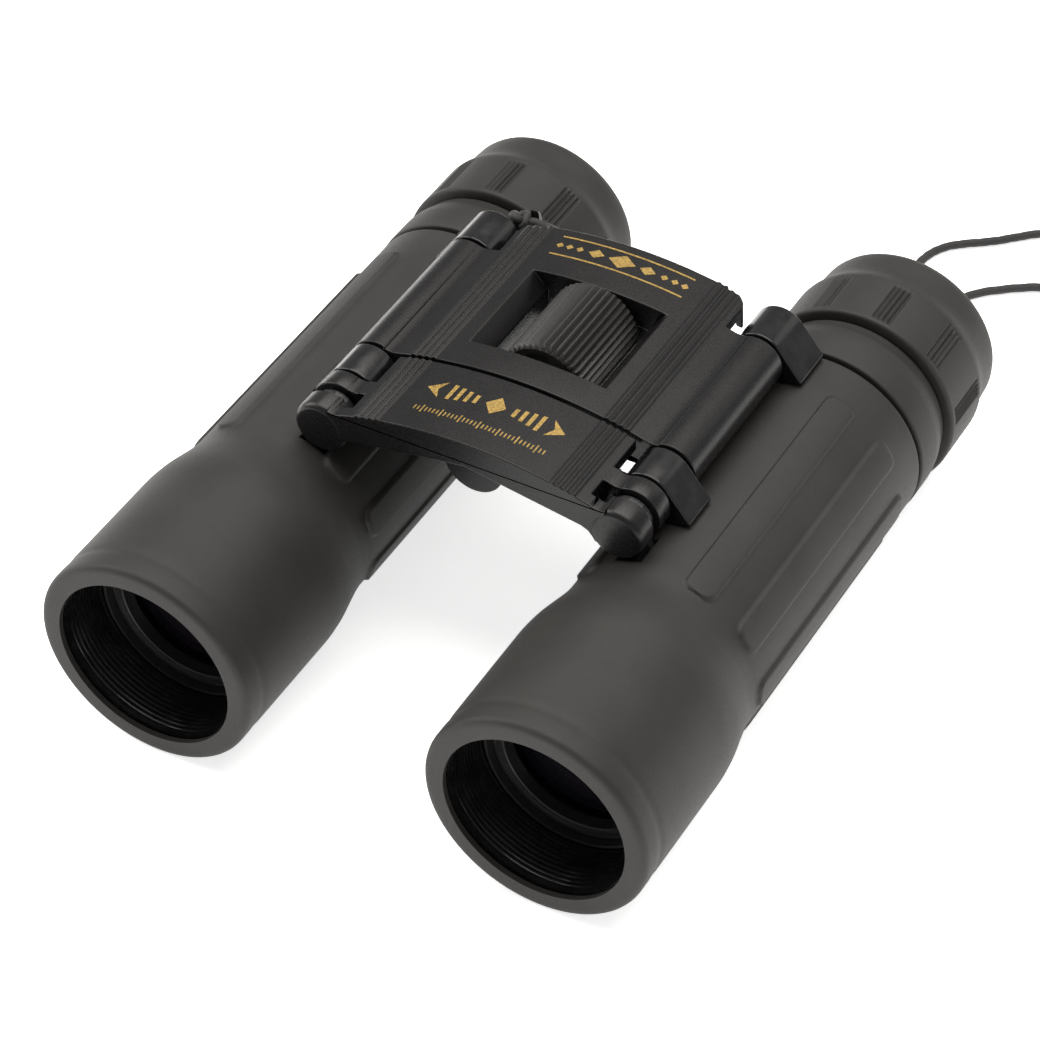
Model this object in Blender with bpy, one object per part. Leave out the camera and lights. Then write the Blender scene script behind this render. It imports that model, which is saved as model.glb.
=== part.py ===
"""Compact 10x25 roof-prism binoculars with two folding hinges and a centre focus wheel.

X runs across the two barrels, Y along the light path (objectives at -Y, eyepieces at +Y) and Z up.
The origin is the middle of the footprint, on the surface that the binoculars lie on.
Sizes below are millimetres. "Station" means the distance behind the front rim.
The user's left barrel is at +X and the user's right barrel, with the dioptre ring, is at -X.
"""
import math

import bmesh
import bpy
from mathutils import Vector

MM = 0.001

# Overall
LENGTH = 114.0
AXIS_HALF_SPACING = 30.75
FRONT_RADIUS = 16.9
AXIS_HEIGHT = FRONT_RADIUS
GAP = 0.35

# Folding hinges, from the barrel axis
HINGE_INBOARD = 7.25
HINGE_ABOVE = 18.3
HINGE_X = AXIS_HALF_SPACING - HINGE_INBOARD
HINGE_Z = AXIS_HEIGHT + HINGE_ABOVE
KNUCKLE_RADIUS = 4.1
PIN_RADIUS = 1.3
PIN_BORE_RADIUS = 1.65
REAR_LUG = (78.3, 85.6)
REAR_KNUCKLE = (51.5, 77.8)
FRONT_LUG = (44.7, 51.0)
THIN_KNUCKLE = (41.2, 44.3)
END_KNUCKLE = (35.8, 39.5)
HINGE_PIN = (37.3, 85.1)

# Barrel housing and its rubber armour
ARMOUR_RADIUS = 15.25
HOUSING_RADIUS = 13.9
HOUSING_FRONT_RADIUS = 15.2
HOUSING_BORE = 12.5
OBJECTIVE_BORE = 13.65
HOUSING_END = 86.1
TAPER = (23.5, 35.0)
FOOT_RADIUS = ARMOUR_RADIUS + 0.3
FOOT_THICKNESS = 0.5

# Angles about the barrel axis, from straight outboard, in degrees
HINGE_ANGLE = math.degrees(math.atan2(HINGE_ABOVE, -HINGE_INBOARD))
FOOT_TIP_ANGLE = 92.0
ROOT_ANGLES = (98.3, 107.1)
WINDOW_MARGIN_ANGLE = 1.8

# Objective cell and the arm that drives it
CELL = (9.8, 24.5, 43.0)
CELL_RADIUS = 13.3
CELL_BORE = 12.85
TAIL_RADIUS = 12.1
TAIL_BORE = 11.3
LENS_SEAT = 19.0
OBJECTIVE_LENS_RADIUS = 12.5
FOCUS_TRAVEL = 3.0
ARM = (39.85, 40.95)
ARM_WIDTH = 3.0
ARM_EYE_RADIUS = 3.2
ARM_END_RADIUS = 11.6

# Prism cage and prisms
CAGE = (50.0, 69.0)
CAGE_RADIUS = 12.15
CAGE_BORE = 11.0
APERTURE_RADIUS = 6.0
PRISM_START = 52.2
PRISM_HALF_WIDTH = 5.5

# Eyepiece
REAR_CAP = (80.0, 86.6, 95.7)
SPIGOT_RADIUS = 12.15
EYE_TUBE_BORE = 9.6
EYE_TUBE_RADIUS = 10.85
EYE_BORE = 11.2
EYE_RING_RADIUS = 13.25
EYE_SLEEVE_RADIUS = 12.4
EYE_RING = (96.4, 105.0, 111.0)
EYECUP_BORE = 12.8
EYECUP_RADIUS = 15.75
EYE_LENS_RADIUS = 9.25

# Bridge plates
FRONT_ARCH = (66.0, 42.2)
REAR_ARCH = (72.0, 41.8)
PLATE_THICKNESS = 1.7
SKIRT_MIDDLE = 38.0
SKIRT_SIDE = 34.2
PLATE_HALF_WIDTH = 22.4
NOTCH_X = 18.9
REAR_NOTCH_X = 18.55
REAR_PLATE = (51.2, 85.0)
FRONT_PLATE = (35.8, 50.6)
WINDOW = (56.4, 74.4)
WINDOW_FLANK = ((8.6, 25.0), (8.6, 38.2), (12.7, 43.0))

# Focus drive
WHEEL_Z = 36.2
WHEEL_RADIUS = 6.85
WHEEL_RIBS = 40
WHEEL_RIB_DEPTH = 0.45
WHEEL = (57.8, 73.9)
SCREW_RADIUS = 2.05
SCREW = (41.5, 78.8)
SCREW_BORE = 2.45
NUT_RADIUS = 3.6
NUT = (40.0, 49.8)
BOSS_RADIUS = 4.6
BOSS = (38.3, 50.2)
CLIP = (77.2, 77.8)

# Neck cord: a loop whose two ends pass through one eyelet behind the bridge
CORD_DIAMETER = 1.4
EYELET_X = (-19.2, -18.0)
EYELET_CENTRE = (86.7, 37.3)
EYELET_RADIUS = 2.6
EYELET_HOLE = 1.6
COIL_CENTRE = (50.0, 105.0)
COIL_MEAN_RADIUS = 5.5 * CORD_DIAMETER
COIL_TURNS_WIDE = 4
COIL_TURNS_HIGH = 4
CORD_LIFT = 0.05

# Hand-chosen route points (x, y, z) of the two strands, from the eyelet to the coil
STRAND_OUT = [
    (-17.6, 30.3, 38.0), (-12.0, 30.3, 37.3), (-6.5, 30.7, 36.0), (-2.4, 31.3, 33.5), (-0.9, 31.6, 29.0),
    (-0.9, 31.9, 20.0), (-0.9, 33.2, 9.5), (-0.8, 37.6, 2.9), (-0.4, 43.2, 0.75), (1.5, 49.6, 0.75),
    (6.0, 57.3, 0.75), (12.0, 65.0, 0.75), (17.0, 74.0, 0.75), (18.0, 84.0, 0.75), (17.2, 91.1, 0.75),
    (19.3, 96.9, 0.75), (25.6, 102.0, 0.75), (31.2, 107.1, 0.75), (35.8, 109.9, 0.75), (39.8, 109.3, 0.75),
]
STRAND_BACK = [
    (-17.6, 29.5, 36.0), (-11.0, 29.2, 35.4), (-4.5, 29.2, 33.6), (-1.0, 29.3, 30.6), (0.85, 29.6, 26.6),
    (0.9, 30.2, 19.0), (0.9, 32.1, 8.5), (1.0, 36.2, 2.6), (1.6, 41.8, 0.75), (4.5, 49.1, 0.75),
    (10.0, 57.8, 0.75), (16.5, 66.0, 0.75), (22.0, 76.9, 0.75), (27.6, 86.9, 0.75), (31.5, 90.9, 0.75),
    (36.7, 94.7, 0.75), (41.3, 98.0, 0.75),
]
CORD_STEP = 3.6

ROUND = 48
INNER_ROUND = 32
SMALL_ROUND = 20

for old in list(bpy.data.objects):
    bpy.data.objects.remove(old, do_unlink=True)


def material(name, colour, roughness, metallic=0.0):
    """A Principled material; colour is linear RGB."""
    made = bpy.data.materials.new(name)
    made.use_nodes = True
    shader = made.node_tree.nodes["Principled BSDF"]
    shader.inputs["Base Color"].default_value = (*colour, 1.0)
    shader.inputs["Roughness"].default_value = roughness
    shader.inputs["Metallic"].default_value = metallic
    return made


RUBBER = material("rubber_armour", (0.060, 0.058, 0.052), 0.75)
PLASTIC = material("black_plastic", (0.022, 0.021, 0.022), 0.35)
INNER_PLASTIC = material("matt_black_plastic", (0.012, 0.012, 0.012), 0.6)
STEEL = material("steel", (0.55, 0.55, 0.56), 0.3, 1.0)
BRASS = material("brass", (0.62, 0.45, 0.18), 0.35, 1.0)
GLASS = material("coated_glass", (0.05, 0.03, 0.08), 0.05)
NYLON = material("nylon_cord", (0.02, 0.02, 0.021), 0.8)


def y_at(station):
    return station - LENGTH / 2.0


def pivot(name, x, y, z):
    """An empty on a joint's axis; the pieces that turn or slide there are its children."""
    empty = bpy.data.objects.new(name, None)
    empty.location = Vector((x, y, z)) * MM
    bpy.context.collection.objects.link(empty)
    return empty


def place(name, bm, finish, parent=None):
    """Turns millimetre geometry in the part's frame into an object, about its parent's origin."""
    origin = Vector((0.0, 0.0, 0.0))
    if parent:
        origin = parent.location.copy()
    for vert in bm.verts:
        vert.co = vert.co * MM - origin
    bmesh.ops.recalc_face_normals(bm, faces=bm.faces)
    mesh = bpy.data.meshes.new(name)
    bm.to_mesh(mesh)
    bm.free()
    mesh.shade_smooth()
    mesh.set_sharp_from_angle(angle=math.radians(35.0))
    thing = bpy.data.objects.new(name, mesh)
    thing.parent = parent
    if finish:
        mesh.materials.append(finish)
    bpy.context.collection.objects.link(thing)
    return thing


def lathe(profile, centre, segments=ROUND):
    """Turns a closed (station, radius) outline about the Y-parallel axis through centre (x, z).

    A radius of 0 is a point on the axis.
    """
    bm = bmesh.new()
    rings = []
    for station, radius in profile:
        if radius == 0:
            rings.append([bm.verts.new((centre[0], y_at(station), centre[1]))])
            continue
        ring = []
        for step in range(segments):
            angle = 2 * math.pi * step / segments
            x = centre[0] + radius * math.cos(angle)
            z = centre[1] + radius * math.sin(angle)
            ring.append(bm.verts.new((x, y_at(station), z)))
        rings.append(ring)
    for index, ring in enumerate(rings):
        after = rings[(index + 1) % len(rings)]
        if len(ring) == 1 and len(after) == 1:
            continue
        for step in range(segments):
            here = ring[step % len(ring)]
            here_on = ring[(step + 1) % len(ring)]
            there = after[step % len(after)]
            there_on = after[(step + 1) % len(after)]
            corners = []
            for vert in (here, here_on, there_on, there):
                if vert not in corners:
                    corners.append(vert)
            bm.faces.new(corners)
    return bm


def slab(outline, start, end, end_outline=None):
    """Extrudes an (x, z) outline along Y between two stations, towards end_outline if given."""
    bm = bmesh.new()
    front = [bm.verts.new((x, y_at(start), z)) for x, z in outline]
    rear = [bm.verts.new((x, y_at(end), z)) for x, z in end_outline or outline]
    bm.faces.new(front)
    bm.faces.new(list(reversed(rear)))
    count = len(outline)
    for index in range(count):
        on = (index + 1) % count
        bm.faces.new((front[index], rear[index], rear[on], front[on]))
    return bm


def block(x0, x1, start, end, z0, z1):
    return slab([(x0, z0), (x1, z0), (x1, z1), (x0, z1)], start, end)


def disc(centre, radius, segments=ROUND):
    """Points of a circle as an (x, z) outline."""
    turn = 2 * math.pi / segments
    return [(centre[0] + radius * math.cos(turn * k), centre[1] + radius * math.sin(turn * k))
            for k in range(segments)]


def combine(target, bm, operation):
    """Cuts or joins millimetre geometry with target, by an exact Boolean."""
    guide = place(target.name + "_" + operation.lower(), bm, None, target.parent)
    guide.hide_render = True
    guide.display_type = "WIRE"
    step = target.modifiers.new(operation, "BOOLEAN")
    step.operation = operation
    step.object = guide
    step.solver = "EXACT"


def polar(centre, radius, angle, side):
    """The (x, z) point at an angle about a barrel axis; side mirrors it."""
    turned = math.radians(angle)
    return (centre[0] + side * radius * math.cos(turned), centre[1] + radius * math.sin(turned))


def barrel_axis(side):
    return (side * AXIS_HALF_SPACING, AXIS_HEIGHT)


def hinge_axis(side):
    return (side * HINGE_X, HINGE_Z)


def wedge(side, inner, outer, angles):
    """A sector between two radii about the barrel axis."""
    centre = barrel_axis(side)
    middle = (angles[0] + angles[1]) / 2.0
    return [polar(centre, inner, angles[0], side), polar(centre, outer, angles[0], side),
            polar(centre, outer, middle, side), polar(centre, outer, angles[1], side),
            polar(centre, inner, angles[1], side), polar(centre, inner, middle, side)]


def lug_outline(side):
    """Knuckle, flat outer flank and a thin foot that lies over the armour."""
    barrel = barrel_axis(side)
    hinge = hinge_axis(side)
    tip = polar(barrel, FOOT_RADIUS + FOOT_THICKNESS, FOOT_TIP_ANGLE - 0.5, side)
    away = math.hypot(tip[0] - hinge[0], tip[1] - hinge[1])
    tip_angle = math.degrees(math.atan2(tip[1] - hinge[1], side * (tip[0] - hinge[0])))
    first = tip_angle + math.degrees(math.acos(KNUCKLE_RADIUS / away))
    last = HINGE_ANGLE + 180.0
    points = []
    steps = 20
    for k in range(steps + 1):
        points.append(polar(hinge, KNUCKLE_RADIUS, first + (last - first) * k / steps, side))
    foot_steps = 6
    for k in range(1, foot_steps + 1):
        angle = HINGE_ANGLE + (FOOT_TIP_ANGLE - HINGE_ANGLE) * k / foot_steps
        points.append(polar(barrel, FOOT_RADIUS, angle, side))
    points.append(tip)
    return points


def armour_profile():
    """Outer rubber with its rolled front rim, as one closed outline."""
    return [(0.0, 13.75), (0.0, 16.2), (0.3, 16.7), (1.0, FRONT_RADIUS), (TAPER[0], FRONT_RADIUS),
            (26.5, 16.6), (29.5, 15.95), (32.0, 15.45), (TAPER[1], ARMOUR_RADIUS),
            (85.9, ARMOUR_RADIUS), (85.9, HOUSING_RADIUS + GAP), (TAPER[1], HOUSING_RADIUS + GAP),
            (TAPER[0] + 0.3, HOUSING_FRONT_RADIUS + GAP), (0.85, HOUSING_FRONT_RADIUS + GAP), (0.85, 13.75)]


def housing_profile():
    return [(1.2, OBJECTIVE_BORE), (1.2, HOUSING_FRONT_RADIUS), (TAPER[0], HOUSING_FRONT_RADIUS),
            (TAPER[1] - 0.3, HOUSING_RADIUS), (HOUSING_END, HOUSING_RADIUS), (HOUSING_END, HOUSING_BORE),
            (27.5, HOUSING_BORE), (27.5, OBJECTIVE_BORE)]


def make_housing(side, hand, fold):
    """Moulded barrel with both hinge lugs, bored for its pin and slotted for the focus arm."""
    barrel = barrel_axis(side)
    thing = place("barrel_" + hand, lathe(housing_profile(), barrel, 40), PLASTIC, fold)
    for start, end in (FRONT_LUG, REAR_LUG):
        combine(thing, slab(lug_outline(side), start, end), "UNION")
        root = wedge(side, HOUSING_RADIUS - 0.7, FOOT_RADIUS + 0.7, ROOT_ANGLES)
        combine(thing, slab(root, start + 0.9, end - 0.9), "UNION")
    combine(thing, slab(disc(hinge_axis(side), PIN_BORE_RADIUS, SMALL_ROUND), 40.0, 90.0), "DIFFERENCE")
    combine(thing, arm_slot(side), "DIFFERENCE")
    return thing


def arm_slot(side):
    """Room for the focus arm to slide forward through the barrel's wall."""
    half = math.degrees((ARM_WIDTH / 2.0 + GAP + 0.1) / HOUSING_RADIUS)
    outline = wedge(side, 11.0, 17.0, (HINGE_ANGLE - half, HINGE_ANGLE + half))
    return slab(outline, ARM[0] - FOCUS_TRAVEL - 0.5, ARM[1] + 0.4)


def make_armour(side, hand, fold):
    thing = place("armour_" + hand, lathe(armour_profile(), barrel_axis(side)), RUBBER, fold)
    angles = (ROOT_ANGLES[0] - WINDOW_MARGIN_ANGLE, ROOT_ANGLES[1] + WINDOW_MARGIN_ANGLE)
    for start, end in (FRONT_LUG, REAR_LUG):
        combine(thing, slab(wedge(side, 13.0, 18.0, angles), start + 0.5, end - 0.5), "DIFFERENCE")
    combine(thing, arm_slot(side), "DIFFERENCE")


def make_rear_cap(side, hand, fold):
    profile = [(REAR_CAP[0], EYE_BORE), (REAR_CAP[0], SPIGOT_RADIUS), (REAR_CAP[1], SPIGOT_RADIUS),
               (REAR_CAP[1], 15.2), (REAR_CAP[1] + 0.3, 15.4), (91.5, 15.4), (93.3, 15.1), (94.5, 14.6),
               (REAR_CAP[2], 14.45), (REAR_CAP[2], EYE_BORE)]
    place("rear_cap_" + hand, lathe(profile, barrel_axis(side), 40), RUBBER, fold)


def make_objective(side, hand, focus):
    """Sliding cell with its lens, its threaded retaining ring and the arm on the hinge pin."""
    barrel = barrel_axis(side)
    cell = place("objective_cell_" + hand, lathe([
        (CELL[0], CELL_BORE), (CELL[0], CELL_RADIUS), (CELL[1], CELL_RADIUS), (CELL[1], TAIL_RADIUS),
        (CELL[2], TAIL_RADIUS), (CELL[2], TAIL_BORE), (LENS_SEAT, TAIL_BORE), (LENS_SEAT, CELL_BORE)],
        barrel, INNER_ROUND), INNER_PLASTIC, focus)
    half = math.degrees((ARM_WIDTH / 2.0 + GAP) / TAIL_RADIUS)
    notch = wedge(side, 10.0, 13.0, (HINGE_ANGLE - half, HINGE_ANGLE + half))
    combine(cell, slab(notch, ARM[0] - GAP, CELL[2] + 1.0), "DIFFERENCE")
    front = dome(13.0, 14.7, OBJECTIVE_LENS_RADIUS, 4)
    rear = dome(18.6, 17.3, OBJECTIVE_LENS_RADIUS, 2)
    place("objective_lens_" + hand, lathe(front + list(reversed(rear)), barrel, INNER_ROUND), GLASS, focus)
    ring = [(11.0, 10.9), (11.0, OBJECTIVE_LENS_RADIUS), (13.9, OBJECTIVE_LENS_RADIUS), (13.9, 11.6),
            (13.0, 10.9)]
    place("objective_ring_" + hand, lathe(ring, barrel, INNER_ROUND), INNER_PLASTIC, focus)
    place("focus_arm_" + hand, slab(arm_outline(side), ARM[0], ARM[1]), STEEL, focus)
    arm = bpy.data.objects["focus_arm_" + hand]
    combine(arm, slab(disc(hinge_axis(side), PIN_BORE_RADIUS, SMALL_ROUND), 35.0, 45.0), "DIFFERENCE")


def arm_outline(side):
    """A plate with a round eye on the hinge pin and a leg toward the barrel axis."""
    hinge = hinge_axis(side)
    barrel = barrel_axis(side)
    away = math.hypot(HINGE_INBOARD, HINGE_ABOVE)
    half = ARM_WIDTH / 2.0
    spread = math.degrees(math.asin(half / ARM_EYE_RADIUS))
    down = HINGE_ANGLE + 180.0
    points = []
    steps = 16
    for k in range(steps + 1):
        angle = down + spread + (360.0 - 2 * spread) * k / steps
        points.append(polar(hinge, ARM_EYE_RADIUS, angle, side))
    lean = math.radians(down)
    reach = away - ARM_END_RADIUS
    foot_x = reach * math.cos(lean)
    foot_z = reach * math.sin(lean)
    for sign in (-1, 1):
        x = foot_x - sign * half * math.sin(lean)
        z = foot_z + sign * half * math.cos(lean)
        points.append((hinge[0] + side * x, hinge[1] + z))
    return points


def dome(apex, edge, radius, steps):
    """Stations and radii of a spherical face, from its apex out to its edge."""
    points = [(apex, 0)]
    for k in range(1, steps + 1):
        share = k / steps
        points.append((apex + (edge - apex) * share * share, radius * share))
    return points


def make_prisms(side, hand, fold):
    """Cage, entrance half-pentagon prism and roof prism of a straight-through roof pair."""
    barrel = barrel_axis(side)
    place("prism_cage_" + hand, lathe([
        (CAGE[0], APERTURE_RADIUS), (CAGE[0], CAGE_RADIUS), (CAGE[1], CAGE_RADIUS), (CAGE[1], CAGE_BORE),
        (CAGE[0] + 1.2, CAGE_BORE), (CAGE[0] + 1.2, APERTURE_RADIUS)],
        barrel, INNER_ROUND), INNER_PLASTIC, fold)
    entrance = [(0.0, -6.5), (0.0, 5.5), (8.3, 8.9), (13.5, 7.0)]
    place("entrance_prism_" + hand, prism(entrance, barrel, None), GLASS, fold)
    exit_face = [(14.5, 7.3), (14.5, -4.7), (6.01, -1.19)]
    ridge = [(12.4, -9.8), (3.9, -6.3)]
    place("roof_prism_" + hand, prism(exit_face, barrel, ridge), GLASS, fold)


def prism(outline, centre, ridge):
    """Extrudes a (depth, height) outline across X; ridge adds a roof under its last two points."""
    bm = bmesh.new()
    sides = []
    for x in (-PRISM_HALF_WIDTH, PRISM_HALF_WIDTH):
        sides.append([bm.verts.new((centre[0] + x, y_at(PRISM_START + depth), centre[1] + height))
                      for depth, height in outline])
    low, high = sides
    count = len(outline)
    bm.faces.new(low)
    bm.faces.new(list(reversed(high)))
    for index in range(count):
        on = (index + 1) % count
        if ridge and index == 1:
            continue
        bm.faces.new((low[index], high[index], high[on], low[on]))
    if ridge:
        rear, front = [bm.verts.new((centre[0], y_at(PRISM_START + depth), centre[1] + height))
                       for depth, height in ridge]
        bm.faces.new((low[1], low[2], front, rear))
        bm.faces.new((high[2], high[1], rear, front))
        bm.faces.new((low[1], rear, high[1]))
        bm.faces.new((low[2], high[2], front))
    return bm


def make_eyepiece(side, hand, turning, sliding):
    """Rubber eyecup on a rigid ring, round a lens tube."""
    barrel = barrel_axis(side)
    place("eyepiece_tube_" + hand, lathe([
        (78.0, EYE_TUBE_BORE), (78.0, EYE_TUBE_RADIUS), (111.6, EYE_TUBE_RADIUS), (112.0, 10.4),
        (112.0, EYE_TUBE_BORE)], barrel, INNER_ROUND), PLASTIC, sliding)
    field = dome(82.0, 83.4, EYE_LENS_RADIUS, 3)
    place("field_lens_" + hand, lathe(field + [(86.0, EYE_LENS_RADIUS), (86.0, 0)], barrel, INNER_ROUND),
          GLASS, sliding)
    stop = [(90.0, 6.5), (90.0, 9.3), (91.0, 9.3), (91.0, 6.5)]
    place("field_stop_" + hand, lathe(stop, barrel, INNER_ROUND), INNER_PLASTIC, sliding)
    eye = dome(109.0, 107.8, EYE_LENS_RADIUS, 4)
    place("eye_lens_" + hand, lathe([(104.0, 0), (104.0, EYE_LENS_RADIUS)] + list(reversed(eye))[:-1]
                                    + [(109.0, 0)], barrel, INNER_ROUND), GLASS, sliding)
    place("eyepiece_ring_" + hand, lathe([
        (EYE_RING[0], EYE_BORE), (EYE_RING[0], EYE_RING_RADIUS), (EYE_RING[1], EYE_RING_RADIUS),
        (EYE_RING[1], EYE_SLEEVE_RADIUS), (EYE_RING[2], EYE_SLEEVE_RADIUS), (EYE_RING[2], EYE_BORE)],
        barrel, INNER_ROUND), PLASTIC, turning)
    cup_bore = EYE_RING_RADIUS + GAP
    place("eyecup_" + hand, lathe([
        (96.15, cup_bore), (96.15, 15.4), (96.5, EYECUP_RADIUS), (105.8, EYECUP_RADIUS), (107.3, 15.25),
        (108.4, 14.95), (112.6, 14.7), (113.6, 14.2), (LENGTH, 13.5), (113.7, EYECUP_BORE),
        (105.4, EYECUP_BORE), (105.4, cup_bore)], barrel, 40), RUBBER, turning)


def arch(x, shape, drop=0.0):
    """Height of a plate's top at x; shape is the arch's radius and crown, drop is a depth below it."""
    radius, crown = shape
    return crown - radius + math.sqrt((radius - drop) ** 2 - x * x)


def under_arch(x0, x1, shape, bottom, drop, steps):
    """An outline with a flat bottom and an arched top, at a depth below the plate's."""
    points = [(x0, bottom), (x1, bottom)]
    for k in range(steps + 1):
        x = x1 + (x0 - x1) * k / steps
        points.append((x, arch(x, shape, drop)))
    return points


def plate_outline(shape):
    """A plate's section: arched top, and a skirt that drops towards the knuckles."""
    points = [(-PLATE_HALF_WIDTH, SKIRT_SIDE), (0.0, SKIRT_MIDDLE), (PLATE_HALF_WIDTH, SKIRT_SIDE)]
    steps = 24
    for k in range(steps + 1):
        x = PLATE_HALF_WIDTH - 2 * PLATE_HALF_WIDTH * k / steps
        points.append((x, arch(x, shape)))
    return points


def screw_bore(start, end, radius=SCREW_BORE):
    return slab(disc((0.0, WHEEL_Z), radius, SMALL_ROUND), start, end)


def make_rear_bridge():
    """Arched cover with a hollow underside, bearings for the focus shaft and two long knuckles."""
    thing = place("rear_bridge", slab(plate_outline(REAR_ARCH), *REAR_PLATE), PLASTIC)
    for side in (-1, 1):
        combine(thing, slab(disc(hinge_axis(side), KNUCKLE_RADIUS, 36), *REAR_KNUCKLE), "UNION")
    hang = [(-7.2, 31.6), (7.2, 31.6), (8.3, 33.4), (8.3, 39.0), (-8.3, 39.0), (-8.3, 33.4)]
    for start in (54.6, 75.2):
        combine(thing, slab(hang, start, start + 1.5), "UNION")
    for side in (-1, 1):
        inner, outer = sorted((side * 8.0, side * 9.9))
        combine(thing, block(inner, outer, 54.4, 76.4, 33.1, 38.9), "UNION")
    eyelet = bmesh.new()
    rounds = 20
    bar = [(EYELET_CENTRE[0] + EYELET_RADIUS * math.cos(2 * math.pi * k / rounds),
            EYELET_CENTRE[1] + EYELET_RADIUS * math.sin(2 * math.pi * k / rounds)) for k in range(rounds)]
    cheeks = [[eyelet.verts.new((x, y_at(station), z)) for station, z in bar] for x in EYELET_X]
    eyelet.faces.new(cheeks[0])
    eyelet.faces.new(list(reversed(cheeks[1])))
    for k in range(rounds):
        on = (k + 1) % rounds
        eyelet.faces.new((cheeks[0][k], cheeks[1][k], cheeks[1][on], cheeks[0][on]))
    combine(thing, eyelet, "UNION")
    flank = list(WINDOW_FLANK)
    window = flank + [(-x, z) for x, z in reversed(flank)]
    combine(thing, slab(window, *WINDOW), "DIFFERENCE")
    under = PLATE_THICKNESS
    combine(thing, slab(under_arch(-10.0, 10.0, REAR_ARCH, 30.0, under, 6), 52.7, 54.6), "DIFFERENCE")
    for side in (-1, 1):
        inner, outer = sorted((side * 0.7, side * 11.8))
        combine(thing, slab(under_arch(inner, outer, REAR_ARCH, 30.0, under, 4), 76.7, 83.5), "DIFFERENCE")
        inner, outer = sorted((side * 13.4, side * 17.3))
        for start in (52.7, 63.3, 73.9):
            pocket = under_arch(inner, outer, REAR_ARCH, 30.0, under, 2)
            combine(thing, slab(pocket, start, start + 9.6), "DIFFERENCE")
    combine(thing, screw_bore(50.0, 80.0), "DIFFERENCE")
    combine(thing, screw_bore(76.7, 79.2, 4.2), "DIFFERENCE")
    for side in (-1, 1):
        inner, outer = sorted((side * 16.0, side * 20.0))
        open_side = under_arch(inner, outer, REAR_ARCH, 30.0, under, 2)
        combine(thing, slab(open_side, 78.4, 83.1), "DIFFERENCE")
        inner, outer = sorted((side * REAR_NOTCH_X, side * 30.0))
        combine(thing, block(inner, outer, REAR_KNUCKLE[1], 88.5, 30.0, 45.0), "DIFFERENCE")
        combine(thing, slab(disc(hinge_axis(side), PIN_BORE_RADIUS, SMALL_ROUND), 48.0, 80.0), "DIFFERENCE")
    hole = bmesh.new()
    ring = [(EYELET_CENTRE[0] + EYELET_HOLE * math.cos(2 * math.pi * k / rounds),
             EYELET_CENTRE[1] + EYELET_HOLE * math.sin(2 * math.pi * k / rounds)) for k in range(rounds)]
    ends = [[hole.verts.new((x, y_at(station), z)) for station, z in ring] for x in (-21.0, -16.0)]
    hole.faces.new(ends[0])
    hole.faces.new(list(reversed(ends[1])))
    for k in range(rounds):
        on = (k + 1) % rounds
        hole.faces.new((ends[0][k], ends[1][k], ends[1][on], ends[0][on]))
    combine(thing, hole, "DIFFERENCE")


def make_front_bridge(slide):
    """Sliding front plate with split knuckles and a boss for the focus nut."""
    section = slab(plate_outline(FRONT_ARCH), *FRONT_PLATE, plate_outline(REAR_ARCH))
    thing = place("front_bridge", section, PLASTIC, slide)
    for side in (-1, 1):
        axis = hinge_axis(side)
        combine(thing, slab(disc(axis, KNUCKLE_RADIUS, 36), END_KNUCKLE[0], THIN_KNUCKLE[1]), "UNION")
    combine(thing, slab(disc((0.0, WHEEL_Z), BOSS_RADIUS, 32), *BOSS), "UNION")
    for side in (-1, 1):
        inner, outer = sorted((side * 5.8, side * 17.0))
        pocket = under_arch(inner, outer, REAR_ARCH, 30.0, PLATE_THICKNESS, 4)
        combine(thing, slab(pocket, 37.8, 52.0), "DIFFERENCE")
        inner, outer = sorted((side * 15.0, side * 20.0))
        open_side = under_arch(inner, outer, REAR_ARCH, 30.0, PLATE_THICKNESS, 3)
        combine(thing, slab(open_side, 45.2, 52.0), "DIFFERENCE")
    combine(thing, screw_bore(39.6, 52.0, NUT_RADIUS + GAP), "DIFFERENCE")
    for side in (-1, 1):
        inner, outer = sorted((side * NOTCH_X, side * 30.0))
        combine(thing, block(inner, outer, THIN_KNUCKLE[1], 52.0, 30.0, 45.0), "DIFFERENCE")
        combine(thing, block(inner, outer, END_KNUCKLE[1], THIN_KNUCKLE[0], 30.0, 45.0), "DIFFERENCE")
        inner, outer = sorted((side * NOTCH_X, side * 21.2))
        combine(thing, block(inner, outer, 38.0, THIN_KNUCKLE[0], 30.0, 45.0), "DIFFERENCE")
        pin = disc(hinge_axis(side), PIN_BORE_RADIUS, SMALL_ROUND)
        combine(thing, slab(pin, HINGE_PIN[0] - 0.4, 46.0), "DIFFERENCE")


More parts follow.
